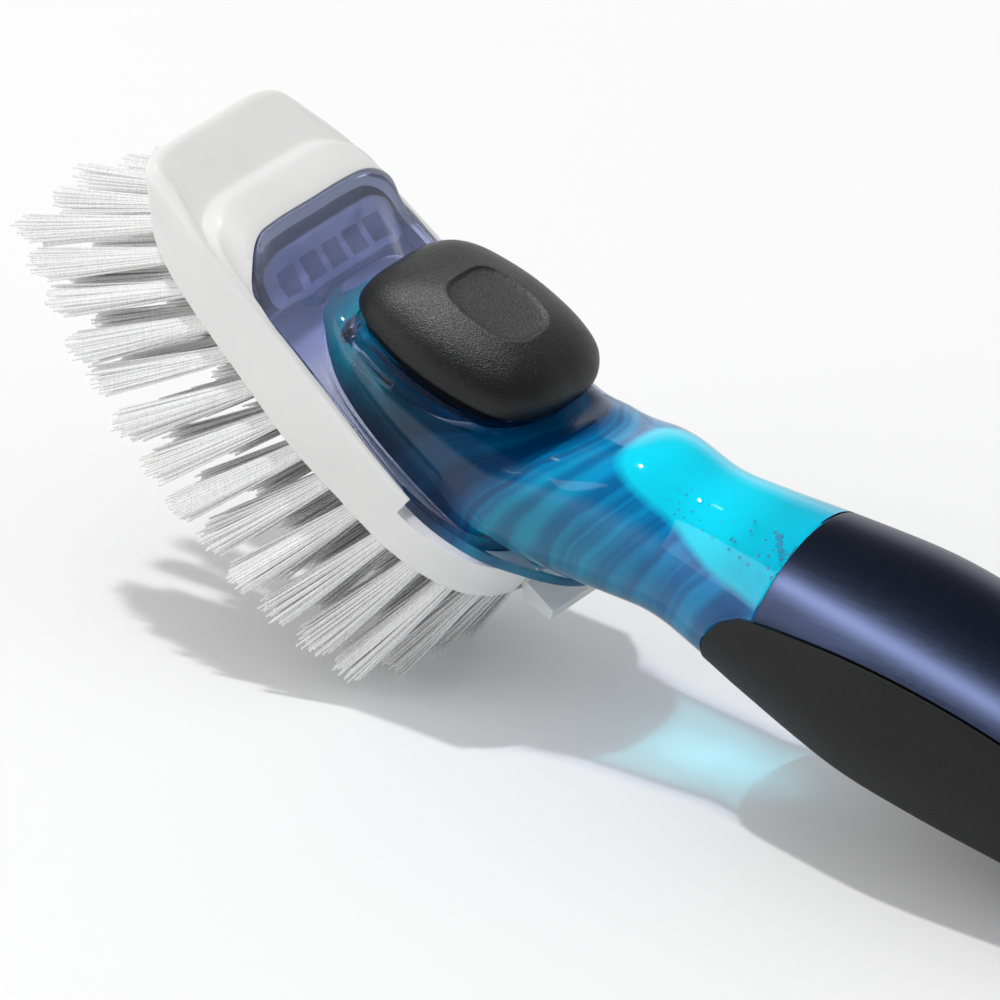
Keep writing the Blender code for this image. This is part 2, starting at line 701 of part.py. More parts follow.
def bristle_strands():
    """Root and tip of every strand, as pairs of points, with ragged tips."""
    chance = random.Random(7)
    strands = []
    for x, y in tuft_places():
        direction = strand_direction(x, y)
        for k in range(STRANDS_IN_A_TUFT):
            angle = math.tau * (k + (x + y) / TUFT_SPACING) / STRANDS_IN_A_TUFT
            ray = Vector((math.cos(angle), math.sin(angle), 0))
            root = Vector((x, y, 0)) + ray * TUFT_ROOT
            length = BRISTLE_LENGTH - BRISTLE_RAGGED * chance.random()
            strands.append((root, root + direction * length + ray * (TUFT_TIP - TUFT_ROOT)))
    return strands


def make_bristles(head, materials, stand_plane):
    """Strands fused to a slice of their backing, and cut flat where the brush stands on them."""
    foot = plan_outline(FOOT_SHARES, FOOT_FRONT, HEAD_REAR, HEAD_HALF_WIDTH, BACKING_INSET)
    backing = loft("bristle_field", [lift_outline(foot, 0), lift_outline(foot, BACKING_THICKNESS)],
                   head, materials["nylon"], smooth=False, ends="faces")
    bm = bmesh.new()
    for root, tip in bristle_strands():
        along = (tip - root).normalized()
        start = root - along * BACKING_THICKNESS / 2
        across = along.cross(SIDE).normalized() * BRISTLE_RADIUS
        beside = along.cross(across)
        rings = []
        for centre in (start, tip):
            rings.append([bm.verts.new(centre + across * math.cos(math.tau * i / BRISTLE_SIDES)
                                       + beside * math.sin(math.tau * i / BRISTLE_SIDES))
                          for i in range(BRISTLE_SIDES)])
        for i in range(BRISTLE_SIDES):
            j = (i + 1) % BRISTLE_SIDES
            bm.faces.new((rings[0][i], rings[0][j], rings[1][j], rings[1][i]))
        bm.faces.new(rings[0])
        bm.faces.new(rings[1])
    strands = add_object("join_strands", bm, head, smooth=False)
    combine(backing, strands, "UNION")
    bore = NOZZLE_RADIUS + RUN
    hole = turned("cut_backing_hole", disc_profile(bore, -OVERRUN, OVERRUN), head)
    hole.location.x = PUMP_X
    combine(backing, hole)
    combine(backing, stand_plane)
    return backing


def make_latch(head, materials):
    """Frosted heel tab on its pin, hooked up to the brim's rear."""
    back = LATCH_PIN_X + LATCH_THICKNESS
    tip = LATCH_PIN_X + LATCH_TAB_REACH
    foot = LATCH_PIN_Z - LATCH_BOSS + GAP
    front = LATCH_PIN_X - LATCH_BOSS + GAP
    shoulder = LATCH_TAB_HEIGHT - LATCH_THICKNESS
    outline = ((front, foot + LATCH_BOSS / 2), (front + LATCH_BOSS / 2, foot), (back, foot),
               (back + LATCH_BOSS, shoulder - LATCH_THICKNESS), (tip - LATCH_BOSS, shoulder - LATCH_THICKNESS / 2),
               (tip, shoulder), (tip - LATCH_BOSS / 3, LATCH_TAB_HEIGHT),
               (back + GAP, LATCH_TAB_HEIGHT - GAP), (back, LATCH_TOP), (LATCH_PIN_X - GAP, LATCH_TOP))
    latch = prism_along_y("release_latch", outline, LATCH_HALF_WIDTH, head, materials["frosted"])
    for vertex in latch.data.vertices:
        vertex.co -= Vector((LATCH_PIN_X, 0, LATCH_PIN_Z))
    latch.location = (LATCH_PIN_X, 0, LATCH_PIN_Z)
    reach = LATCH_HALF_WIDTH + OVERRUN
    bore = turned("cut_latch_bore", disc_profile(LATCH_PIN_RADIUS + GAP, -reach, reach), head, sides=16)
    bore.rotation_euler.x = math.pi / 2
    bore.location = latch.location
    combine(latch, bore)
    length = LATCH_HALF_WIDTH + RUN + LATCH_THICKNESS - GAP
    pin = turned("latch_pin", disc_profile(LATCH_PIN_RADIUS, -length, length), head, materials["spring"], sides=16)
    pin.rotation_euler.x = math.pi / 2
    pin.location = latch.location


def button_rim(x):
    return BUTTON_RIM_HEIGHT + BUTTON_SLOPE * (x - PUMP_X)


def button_outline(inset):
    return plan_outline(BUTTON_SHARES, BUTTON_FRONT, BUTTON_REAR, BUTTON_HALF_WIDTH, inset, steps=2)


def button_solid(name, low_inset, low, high, parent, material=None):
    """Prism under the button's plan whose floor and top follow the rim's slope."""
    outline = button_outline(low_inset)
    return loft(name, [lift_outline(outline, lambda x: button_rim(x) + low),
                       lift_outline(outline, lambda x: button_rim(x) + high)], parent, material, ends="faces")


def make_upper_housing(frame, materials):
    """Clear body in one moulding: brim, window, chamber, neck and tank tube."""
    brim = plan_outline(BRIM_SHARES, BRIM_FRONT, BRIM_REAR, BRIM_HALF_WIDTH)
    skirt = plan_outline(SKIRT_SHARES, SKIRT_FRONT, SKIRT_REAR, SKIRT_HALF_WIDTH)
    housing = loft("upper_housing", [
        lift_outline(skirt, SKIRT_BASE),
        lift_outline(skirt, lambda x: edge_height(x) - BRIM_THICKNESS),
        lift_outline(brim, lambda x: edge_height(x) - BRIM_THICKNESS),
        lift_outline(brim, lambda x: edge_height(x) - BRIM_THICKNESS / 3),
        lift_outline(inset_outline(brim, BRIM_THICKNESS / 3), edge_height),
        lift_outline(inset_outline(brim, WINDOW_INSET), lambda x: edge_height(x) + WINDOW_CROWN),
    ], frame, materials["clear"])
    chamber = loft("join_chamber", section_rings(body_stations(0, SKIRT_BASE), 24, 2), frame)
    fill_neck = loft("join_fill_neck", [
        handle_ring(HANDLE_LENGTH - OVERRUN, FILL_NECK_RADIUS, 24),
        handle_ring(HANDLE_LENGTH + FILL_NECK_LENGTH, FILL_NECK_RADIUS, 24)], frame)
    combine_many(housing, "UNION", (chamber, fill_neck))

    cavity = loft("cut_chamber", inside_rings(WALL), frame)
    fill_bore = loft("cut_fill_bore", [
        handle_ring(HANDLE_LENGTH - 2 * OVERRUN, FILL_NECK_BORE, 24),
        handle_ring(HANDLE_LENGTH + FILL_NECK_LENGTH + OVERRUN, FILL_NECK_BORE, 24)], frame)
    bay = front_bay("cut_front_bay", 0, SKIRT_BASE - OVERRUN, frame)
    opening = button_solid("cut_button_opening", BUTTON_OVERHANG - WELL_WALL - 2 * RUN - GAP,
                           -WELL_DEPTH - OVERRUN, BUTTON_CROWN, frame)
    sleeve_seat = handle_tube("cut_sleeve_seat", spread(SLEEVE_START - GAP, HANDLE_LENGTH + OVERRUN, 10),
                              SLEEVE_THICKNESS + GAP, -OVERRUN, frame)
    grip_recess = handle_band("cut_grip_recess", grip_places() + [HANDLE_LENGTH + OVERRUN],
                              GRIP_THICKNESS + GAP, -2 * OVERRUN, grip_arc(GAP), frame, lead=GAP)
    combine_many(housing, "DIFFERENCE", (cavity, fill_bore, bay, opening, sleeve_seat, grip_recess))
    return housing


def front_bay(name, inset, low, parent, material=None):
    """Prism of the dry compartment, whose roof follows the window over it."""
    outline = plan_outline(BAY_SHARES, BAY_FRONT, BAY_REAR, BAY_HALF_WIDTH, inset)
    rings = [lift_outline(outline, low), lift_outline(outline, lambda x: edge_height(x) - BAY_ROOF - inset)]
    return loft(name, rings, parent, material, smooth=False)


def make_base(frame, materials):
    """Base plate of the chamber and the catch block in the dry front bay."""
    plate = loft("lower_housing", inside_rings(WALL + GAP), frame, materials["clear_base"])
    wide = HEAD_HALF_WIDTH + OVERRUN
    combine(plate, box("keep_base_slab", (HEAD_FRONT, -wide, SKIRT_BASE), (HEAD_REAR, wide, BASE_TOP), frame),
            "INTERSECT")
    hole = turned("cut_base_hole", disc_profile(NOZZLE_RADIUS + GAP, -OVERRUN, BASE_TOP + OVERRUN), frame)
    hole.location.x = PUMP_X
    combine(plate, hole)

    catch = front_bay("front_catch", GAP, SKIRT_BASE, frame, materials["clear_base"])
    pitch = 2 * (BAY_HALF_WIDTH - 2 * BAY_RIB) / BAY_SLOTS
    half = (pitch - BAY_RIB) / 2
    for k in range(BAY_SLOTS):
        middle = (k - (BAY_SLOTS - 1) / 2) * pitch
        low = (BAY_FRONT + 2 * BAY_RIB, middle - half, SKIRT_BASE + BAY_FLOOR)
        high = (BAY_REAR - BAY_RIB, middle + half, COLLAR_HEIGHT + OVERRUN)
        combine(catch, box(f"cut_catch_slot_{k + 1}", low, high, frame))


def make_button(pump, frame, materials):
    """Soft cap, stiff carrier, rod, piston and seal: all that moves with the thumb."""
    rings = []
    for inset, rise in ((BUTTON_OVERHANG, -BUTTON_SKIRT), (BUTTON_OVERHANG, 0), (BUTTON_RIM_THICKNESS / 4, 0)):
        rings.append(lift_outline(button_outline(inset), lambda x, rise=rise: button_rim(x) + rise))
    for plan_share, rise_share in BUTTON_CROWN_SHARES:
        outline = shrink_outline(button_outline(0), plan_share)
        rise = rise_share * BUTTON_CROWN
        rings.append(lift_outline(outline, lambda x, rise=rise: button_rim(x) + rise))
    rings = [[p - Vector((PUMP_X, 0, 0)) for p in ring] for ring in rings]
    cap = loft("button_cap", rings, pump, materials["black"])
    combine(cap, button_solid("cut_cap_cavity", BUTTON_OVERHANG + BUTTON_WALL, -BUTTON_SKIRT - OVERRUN, GAP, frame))
    middle = (BUTTON_FRONT + BUTTON_REAR) / 2 - DIMPLE_FORWARD_SHARE * DIMPLE_RADIUS
    ball = (DIMPLE_RADIUS ** 2 + DIMPLE_DEPTH ** 2) / (2 * DIMPLE_DEPTH)
    bm = bmesh.new()
    bmesh.ops.create_icosphere(bm, subdivisions=4, radius=ball)
    dimple = add_object("cut_thumb_dimple", bm, frame)
    top = button_rim(middle) + BUTTON_CROWN
    dimple.location = (middle, 0, top + ball - DIMPLE_DEPTH)
    combine(cap, dimple)

    carrier = button_solid("button_carrier", BUTTON_OVERHANG + BUTTON_WALL + RUN, -CARRIER_THICKNESS, 0, pump,
                           materials["grey"])
    for vertex in carrier.data.vertices:
        vertex.co.x -= PUMP_X
    boss_low = SPRING_TOP + GAP
    boss_radius = SPRING_RADIUS + SPRING_WIRE
    circle = [(boss_radius * math.cos(math.tau * i / 20), boss_radius * math.sin(math.tau * i / 20)) for i in range(20)]
    boss = loft("join_carrier_boss", [
        lift_outline(circle, boss_low),
        lift_outline(circle, lambda x: button_rim(PUMP_X + x) - CARRIER_THICKNESS / 2)], pump)
    combine(carrier, boss, "UNION")
    socket = disc_profile(ROD_RADIUS + GAP, boss_low - OVERRUN, ROD_TOP + GAP)
    combine(carrier, turned("cut_carrier_socket", socket, pump))

    turned("plunger_rod", disc_profile(ROD_RADIUS, PISTON_TOP + GAP, ROD_TOP), pump, materials["pump"])
    outer = BORE_RADIUS - RUN
    inner = outer - SEAL_DEPTH
    turned("piston", ((0, PISTON_LOW), (outer, PISTON_LOW), (outer, PISTON_LOW + PISTON_LIP),
                      (inner, PISTON_LOW + PISTON_LIP), (inner, PISTON_TOP - PISTON_LIP),
                      (outer, PISTON_TOP - PISTON_LIP), (outer, PISTON_TOP), (0, PISTON_TOP)),
           pump, materials["pump"])
    low = PISTON_LOW + PISTON_LIP + GAP
    turned("piston_seal", tube_profile(inner + GAP, BORE_RADIUS - GAP, low, low + SEAL_HEIGHT), pump, materials["seal"])


def make_pump(pump, frame, materials):
    """Barrel, gland, valves, nozzle and well: the fixed pieces of the pump."""
    outer = BORE_RADIUS + BARREL_WALL
    barrel = turned("pump_barrel", ((0, BARREL_LOW), (outer, BARREL_LOW), (outer, BARREL_TOP), (BORE_RADIUS, BARREL_TOP),
                                    (BORE_RADIUS, BARREL_LOW + BARREL_FLOOR), (0, BARREL_LOW + BARREL_FLOOR)),
                    pump, materials["pump"])
    combine(barrel, turned("cut_outlet", disc_profile(OUTLET_RADIUS, BARREL_LOW - OVERRUN, FLAP_LOW + GAP), pump))
    inlet_place = BORE_RADIUS - 2 * INLET_RADIUS - GAP
    inlet = turned("cut_inlet", disc_profile(INLET_RADIUS, BARREL_LOW - OVERRUN, FLAP_LOW + GAP), pump, sides=16)
    inlet.location.x = inlet_place
    combine(barrel, inlet)
    flap = turned("inlet_valve", disc_profile(INLET_RADIUS + GAP, FLAP_LOW, FLAP_LOW + INLET_FLAP), pump,
                  materials["valve"], sides=20)
    flap.location.x = inlet_place
    inside = BORE_RADIUS - GAP
    turned("barrel_gland", ((ROD_RADIUS + RUN, GLAND_LOW), (inside, GLAND_LOW), (inside, BARREL_TOP + GAP),
                            (outer, BARREL_TOP + GAP), (outer, SPRING_LOW - GAP), (ROD_RADIUS + RUN, SPRING_LOW - GAP)),
           pump, materials["pump"])
    bore = NOZZLE_RADIUS - NOZZLE_WALL
    turned("nozzle", ((bore, -NOZZLE_REACH), (NOZZLE_RADIUS, -NOZZLE_REACH), (NOZZLE_RADIUS, NOZZLE_FLANGE_LOW),
                      (NOZZLE_FLANGE_RADIUS, NOZZLE_FLANGE_LOW), (NOZZLE_FLANGE_RADIUS, BARREL_LOW - GAP),
                      (bore, BARREL_LOW - GAP)), pump, materials["clear_base"])
    lip = bore - GAP
    turned("outlet_valve", ((lip - VALVE_WALL, BASE_TOP), (lip - VALVE_WALL, HEAD_FLOOR), (VALVE_WALL / 2, BACKING_THICKNESS),
                            (VALVE_WALL, BACKING_THICKNESS - VALVE_WALL), (lip, HEAD_FLOOR - VALVE_WALL), (lip, BASE_TOP)),
           pump, materials["valve"], sides=20)
    turned("nozzle_seal", tube_profile(NOZZLE_RADIUS + GAP, SEAL_SEAT_RADIUS - GAP, HEAD_FLOOR - SEAL_SEAT_DEPTH + GAP,
                                       HEAD_FLOOR), pump, materials["seal"])
    make_spring(pump, materials)
    wall_out = BUTTON_OVERHANG - RUN - WELL_WALL
    well = button_solid("button_well", wall_out, -WELL_DEPTH - WELL_WALL, -BUTTON_TRAVEL - GAP - WELL_WALL, frame,
                        materials["clear_base"])
    combine(well, button_solid("cut_well", BUTTON_OVERHANG - RUN, -WELL_DEPTH, BUTTON_CROWN, frame))
    hole = turned("cut_well_hole", disc_profile(outer + RUN, BASE_TOP, BUTTON_RIM_HEIGHT), pump)
    combine(well, hole)


def make_spring(pump, materials):
    """Return spring: one unbroken helix between the gland and the carrier."""
    points_in_a_curl = 9
    count = SPRING_CURLS * points_in_a_curl
    low = SPRING_LOW + SPRING_WIRE / 2 + SPRING_ROOM
    high = SPRING_TOP - SPRING_WIRE / 2 - SPRING_ROOM
    points = []
    for i in range(count + 1):
        angle = math.tau * i / points_in_a_curl
        points.append(Vector((SPRING_RADIUS * math.cos(angle), SPRING_RADIUS * math.sin(angle), low + (high - low) * i / count)))
    least = min((points[i + points_in_a_curl] - points[i]).length for i in range(count + 1 - points_in_a_curl))
    print("least gap between curls of the return spring, mm:", round((least - SPRING_WIRE) * 1000, 2))
    curve = bpy.data.curves.new("return_spring", "CURVE")
    curve.dimensions = "3D"
    curve.bevel_depth = SPRING_WIRE / 2
    curve.bevel_resolution = 1
    curve.use_fill_caps = True
    spline = curve.splines.new("POLY")
    spline.points.add(count)
    for point, place in zip(spline.points, points):
        point.co = (*place, 1)
    curve.materials.append(materials["spring"])
    spring = bpy.data.objects.new("return_spring", curve)
    bpy.context.scene.collection.objects.link(spring)
    spring.parent = pump


def make_soap(frame, materials):
    """The soap: the chamber and tank's inside, less the pump and the button well."""
    soap = loft("soap_fill", inside_rings(WALL + GAP), frame, materials["soap"])
    wide = HEAD_HALF_WIDTH + OVERRUN
    combine(soap, box("cut_soap_base", (HEAD_FRONT, -wide, 0), (HEAD_REAR, wide, BASE_TOP + GAP), frame))
    combine(soap, button_solid("cut_soap_well", BUTTON_OVERHANG - 2 * RUN - WELL_WALL - GAP, -WELL_DEPTH - WELL_WALL - GAP,
                               BUTTON_CROWN, frame))
    room = BORE_RADIUS + BARREL_WALL + GAP
    barrel = turned("cut_soap_barrel", disc_profile(room, 0, BUTTON_RIM_HEIGHT), frame)
    barrel.location.x = PUMP_X
    combine(soap, barrel)
    end = HANDLE_LENGTH - OVERRUN
    combine(soap, loft("cut_soap_end", [handle_ring(end, HANDLE_RADIUS, 24),
                                        handle_ring(end + 2 * OVERRUN, HANDLE_RADIUS, 24)], frame))


def make_handle_skins(frame, materials):
    """Metal sleeve over the top of the handle and soft grip round its underside."""
    end = HANDLE_LENGTH - GAP
    handle_band("steel_sleeve", spread(SLEEVE_START, end, 10), SLEEVE_THICKNESS, 0, sleeve_arc, frame, materials["steel"])
    places = grip_places()[:-1] + [end]
    handle_band("handle_grip", places, GRIP_THICKNESS, -GRIP_PROUD, grip_arc(0), frame, materials["grip"])


def make_fill_end(axis, materials):
    """End collar, screw cap and its seal, turned about the handle's axis."""
    rim = HANDLE_END_RADIUS
    collar_end = HANDLE_LENGTH + COLLAR_LENGTH
    turned("end_collar", ((FILL_NECK_RADIUS + GAP, HANDLE_LENGTH + GAP), (rim - GAP, HANDLE_LENGTH + GAP),
                          (rim - GAP, collar_end - COLLAR_LENGTH / 3), (rim - COLLAR_LENGTH / 3, collar_end),
                          (FILL_NECK_RADIUS + GAP, collar_end)), axis, materials["black"], sides=32)
    start = collar_end + GAP
    end = start + CAP_LENGTH
    face = CAP_RADIUS * CAP_FACE_SHARE
    bore = FILL_NECK_RADIUS + GAP
    ceiling = HANDLE_LENGTH + FILL_NECK_LENGTH + 2 * GAP + SEAL_THICKNESS
    profile = [(0, ceiling), (bore, ceiling), (bore, start), (CAP_RADIUS - GAP, start), (CAP_RADIUS, start + GAP)]
    for k in range(5):
        angle = math.pi / 2 * k / 4
        profile.append((CAP_RADIUS - (CAP_RADIUS - face) * (1 - math.cos(angle)),
                        end - CAP_ROUND + CAP_ROUND * math.sin(angle)))
    profile.append((0, end))
    turned("fill_cap", profile, axis, materials["black"], sides=32)
    low = HANDLE_LENGTH + FILL_NECK_LENGTH + GAP
    turned("cap_seal", tube_profile(FILL_NECK_BORE + GAP, FILL_NECK_RADIUS, low, low + SEAL_THICKNESS), axis,
           materials["seal"])


def standing_tilt():
    """Lean of the brush that lets its rear strands and the grip's end share one floor."""
    strands = [tip for root, tip in bristle_strands()]
    grip = []
    for k in range(41):
        along = HANDLE_LENGTH * k / 40
        grip.append(NECK + HANDLE_AXIS * along - HANDLE_NORMAL * (handle_radius(along) + GRIP_PROUD))

    def lowest(points, tilt):
        return min(p.z * math.cos(tilt) - p.x * math.sin(tilt) for p in points)

    low, high = 0.0, math.pi / 3
    while high - low > math.radians(0.0001):
        tilt = (low + high) / 2
        if lowest(grip, tilt) > lowest(strands, tilt) + STAND_CUT:
            low = tilt
        else:
            high = tilt
    return low, lowest(strands, low) + STAND_CUT


def settle(frame):
    """Put the middle of the overall box above the origin."""
    bpy.context.view_layer.update()
    graph = bpy.context.evaluated_depsgraph_get()
    corners = []
    for thing in bpy.data.objects:
        if thing.type in {"MESH", "CURVE"} and not thing.hide_render:
            ready = thing.evaluated_get(graph)
            mesh = ready.to_mesh()
            corners.extend((ready.matrix_world @ v.co).xy for v in mesh.vertices)
            ready.to_mesh_clear()
    xs = [c.x for c in corners]
    ys = [c.y for c in corners]
    frame.location.x -= (min(xs) + max(xs)) / 2
    frame.location.y -= (min(ys) + max(ys)) / 2


def build():
    clear_scene()
    materials = make_materials()
    tilt, floor = standing_tilt()
    frame = add_empty("brush_frame", tilt=tilt)
    frame.location.z = -floor
    head = add_empty("head_frame", frame)
    pump = add_empty("pump_axis", frame, (PUMP_X, 0, 0))
    axis = add_empty("handle_axis", frame, NECK, math.pi / 2 - HANDLE_ANGLE)
    ground = box("cut_floor", (-HANDLE_LENGTH, -HANDLE_LENGTH, -HANDLE_LENGTH), (HANDLE_LENGTH, HANDLE_LENGTH, floor), frame)
    ground.rotation_euler.y = -tilt

    make_head_block(head, materials)
    make_bristles(head, materials, ground)
    make_latch(head, materials)
    make_upper_housing(frame, materials)
    make_base(frame, materials)
    make_button(pump, frame, materials)
    make_pump(pump, frame, materials)
    make_soap(frame, materials)
    make_handle_skins(frame, materials)
    make_fill_end(axis, materials)
    settle(frame)


build()
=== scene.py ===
"""The soap-dispensing brush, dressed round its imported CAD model.

Shapes are drawn in the frame of the brush head, as in the part's source: X runs from the
toe to the handle, Z points out of the thumb button, and the bristles hang below z = 0.
TO_ROW then turns them into the frame of the row.
"""
import math
import random

import bmesh
import bpy
from mathutils import Matrix, Vector


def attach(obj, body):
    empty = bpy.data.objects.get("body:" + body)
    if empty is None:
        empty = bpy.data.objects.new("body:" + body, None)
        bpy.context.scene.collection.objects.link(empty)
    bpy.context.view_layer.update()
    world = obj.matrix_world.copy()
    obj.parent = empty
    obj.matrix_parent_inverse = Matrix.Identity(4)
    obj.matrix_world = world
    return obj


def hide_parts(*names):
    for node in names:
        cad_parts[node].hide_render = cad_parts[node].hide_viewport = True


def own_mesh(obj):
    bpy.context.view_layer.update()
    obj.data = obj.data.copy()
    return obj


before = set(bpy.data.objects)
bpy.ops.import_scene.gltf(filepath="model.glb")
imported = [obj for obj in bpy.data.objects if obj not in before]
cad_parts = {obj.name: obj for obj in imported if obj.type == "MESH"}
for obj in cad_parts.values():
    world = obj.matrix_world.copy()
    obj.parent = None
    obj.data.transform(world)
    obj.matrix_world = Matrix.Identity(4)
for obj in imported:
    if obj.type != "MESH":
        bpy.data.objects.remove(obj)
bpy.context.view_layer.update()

TILT = math.radians(35.4462)
ORIGIN = Vector((-0.0709697, 0.000128, 0.0509329))
TO_ROW = Matrix.Translation(ORIGIN) @ Matrix.Rotation(TILT, 4, "Y")

# Head block
HEAD_FRONT = -0.0488
HEAD_REAR = 0.0508
HEAD_HALF_WIDTH = 0.0263
HEAD_TOP_HALF_WIDTH = 0.0256
TOE_UNDERCUT = 0.0064
FOOT_FRONT = HEAD_FRONT + TOE_UNDERCUT
TOE_HEIGHT = 0.0116
RIM_HEIGHT = 0.0126
COLLAR_HEIGHT = 0.0176
COLLAR_SHOULDER = 0.0150
COLLAR_FOOT_FRONT = -0.0361
COLLAR_CREST_FRONT = -0.0337
COLLAR_CREST_REAR = -0.0130
NOTCH_START = 0.0285
NOTCH_HEIGHT = 0.0086
HEAD_FLOOR = 0.0040
EDGE_ROUND = 0.0012
TOE_ROUND = 0.0024
SIDE_ROUND = 0.0008
HEAD_SHARES = (
    (0, 0), (0, 0.4), (0.006, 0.61), (0.03, 0.76), (0.1, 0.83), (0.2, 0.91),
    (0.34, 0.935), (0.52, 0.97), (0.69, 1), (0.82, 0.96), (0.915, 0.76), (0.98, 0.42), (1, 0),
)
FOOT_SHARES = (
    (0, 0), (0, 0.34), (0.01, 0.54), (0.038, 0.68), (0.11, 0.8), (0.21, 0.875),
    (0.36, 0.94), (0.52, 1), (0.66, 0.975), (0.8, 0.925), (0.915, 0.74), (0.98, 0.44), (1, 0),
)
COLLAR_SHARES = (
    (0, 0), (0, 0.4), (0.008, 0.62), (0.035, 0.8), (0.085, 0.905), (0.17, 0.935),
    (0.31, 0.945), (0.48, 0.97), (0.66, 1), (0.8, 0.96), (0.905, 0.76), (0.975, 0.42), (1, 0),
)
SIDE_SHARES = ((0.35, 0.35), (0.7, 0.7))
PLATEAU_SHARES = ((0.5, 0.5), (0.9, 0.9))
CREST_SHARES = ((0, 0), (0.15, 0.04), (0.35, 0.2), (0.6, 0.5), (0.8, 0.74), (0.95, 0.9))
LIP_SHARES = ((0.03, 0.08), (0.15, 0.24), (0.4, 0.5), (0.7, 0.76), (1, 1))

# Clear body
BRIM_FRONT = -0.0249
BRIM_REAR = 0.0585
BRIM_HALF_WIDTH = 0.0243
BRIM_THICKNESS = 0.0022
BRIM_SHARES = (
    (0, 0), (0, 0.4), (0.01, 0.66), (0.055, 0.84), (0.14, 0.915), (0.27, 0.935),
    (0.42, 0.97), (0.56, 1), (0.69, 0.98), (0.81, 0.82), (0.9, 0.56), (0.97, 0.28), (1, 0),
)
SKIRT_SHARES = BRIM_SHARES[:8] + ((0.7, 0.985), (0.82, 0.9), (0.92, 0.7), (0.98, 0.38), (1, 0))
SKIRT_FRONT = -0.0233
SKIRT_REAR = 0.0466
SKIRT_HALF_WIDTH = 0.0225
SKIRT_BASE = 0.0043
WINDOW_CROWN = 0.0008
WINDOW_INSET = 0.0060
WINDOW_SHARES = ((0.25, 0.4), (0.5, 0.7), (0.75, 0.9), (1, 1))
BAY_ROOF = 0.0016
BAY_HALF_WIDTH = 0.0185
BAY_SHARES = (
    (0, 0), (0, 0.52), (0.05, 0.8), (0.25, 0.98), (0.6, 1), (0.92, 0.97), (1, 0.8), (1, 0),
)
CHAMBER_FRONT = -0.0095
CHAMBER_LENGTH = 0.0535
CHAMBER_HALF_WIDTH = 0.0196
CHAMBER_HEIGHT = 0.0332
WALL = 0.0022
CHAMBER_SHARES = (
    (0, 0.44, 1), (0.018, 0.56, 1), (0.055, 0.67, 1), (0.12, 0.785, 1), (0.22, 0.9, 1),
    (0.38, 0.975, 1), (0.58, 1, 0.96), (0.79, 0.97, 0.86), (0.9, 0.92, 0.76), (1, 0.86, 0.66),
)
SQUARENESS = 4.2
BASE_PLATE = 0.0019
BASE_TOP = SKIRT_BASE + BASE_PLATE
BAY_FRONT = SKIRT_FRONT + WALL
BAY_REAR = CHAMBER_FRONT - WALL

# Neck, handle and fill end
NECK = Vector((0.0580, 0, 0.0314))
HANDLE_ANGLE = math.radians(24.3)
HANDLE_RADIUS = 0.0214
HANDLE_LENGTH = 0.1260
HEEL_LIFT = 0.0030
HANDLE_SHARES = (
    (0, 0.733), (0.075, 0.69), (0.159, 0.755), (0.254, 0.851), (0.413, 0.98),
    (0.556, 0.985), (0.714, 0.941), (0.857, 0.885), (0.952, 0.872), (1, 0.868),
)
SLEEVE_START = 0.0320
SLEEVE_THICKNESS = 0.0008
SLEEVE_ROUNDS = (0.00025, 0.0003)
GRIP_THICKNESS = 0.0030
GRIP_PROUD = 0.0003
GRIP_ROUNDS = (0.0005, 0.0004)
GRIP_EDGE_SHARES = (
    (0.1706, -0.97), (0.172, -0.75), (0.178, -0.4), (0.191, -0.12), (0.215, 0.1), (0.262, 0.28),
    (0.413, 0.45), (0.6, 0.5), (0.8, 0.44), (1, 0.36),
)
COLLAR_LENGTH = 0.0026
COLLAR_WIDTH = 0.0074
FILL_NECK_WALL = 0.0020
FILL_NECK_LENGTH = 0.0085
CAP_WALL = 0.0038
CAP_LENGTH = 0.0098
CAP_ROUND = 0.0035
CAP_FACE_SHARE = 0.62
CAP_DIMPLE_SHARES = (0.9, 0.86)
SEAL_THICKNESS = 0.0012
CAP_FLUTES = 24
CAP_FLUTE_DEPTH = 0.0004
HANDLE_AXIS = Vector((math.cos(HANDLE_ANGLE), 0, math.sin(HANDLE_ANGLE)))
HANDLE_NORMAL = Vector((-math.sin(HANDLE_ANGLE), 0, math.cos(HANDLE_ANGLE)))
SIDE = Vector((0, 1, 0))
GRIP_NOSE = GRIP_EDGE_SHARES[0][0] * HANDLE_LENGTH
HANDLE_END_RADIUS = HANDLE_SHARES[-1][1] * HANDLE_RADIUS
FILL_NECK_RADIUS = HANDLE_END_RADIUS - COLLAR_WIDTH
FILL_NECK_BORE = FILL_NECK_RADIUS - FILL_NECK_WALL
CAP_RADIUS = FILL_NECK_RADIUS + CAP_WALL

# Thumb button and pump
BUTTON_FRONT = -0.0063
BUTTON_REAR = 0.0334
BUTTON_HALF_WIDTH = 0.0176
BUTTON_SLOPE = 0.27
BUTTON_CROWN = 0.0086
BUTTON_DOME = 0.0097
BUTTON_RIM_THICKNESS = 0.0022
BUTTON_RIM_HEIGHT = 0.0270
BUTTON_RIM_LIFT = 0.00012
BUTTON_TRAVEL = 0.0030
BUTTON_SKIRT = 0.0054
BUTTON_OVERHANG = 0.0039
BUTTON_WALL = 0.0016
BUTTON_SHARES = (
    (0, 0), (0.004, 0.36), (0.04, 0.66), (0.13, 0.85), (0.27, 0.95), (0.43, 1),
    (0.6, 0.985), (0.75, 0.92), (0.88, 0.78), (0.965, 0.52), (0.996, 0.26), (1, 0),
)
BUTTON_DOME_SHARES = (
    (1, 0.07), (0.998, 0.2), (0.978, 0.35), (0.92, 0.51),
    (0.825, 0.66), (0.7, 0.79), (0.57, 0.885), (0.45, 0.955),
)
FACET_CENTRE = 0.0122
FACET_SHARE = 0.42
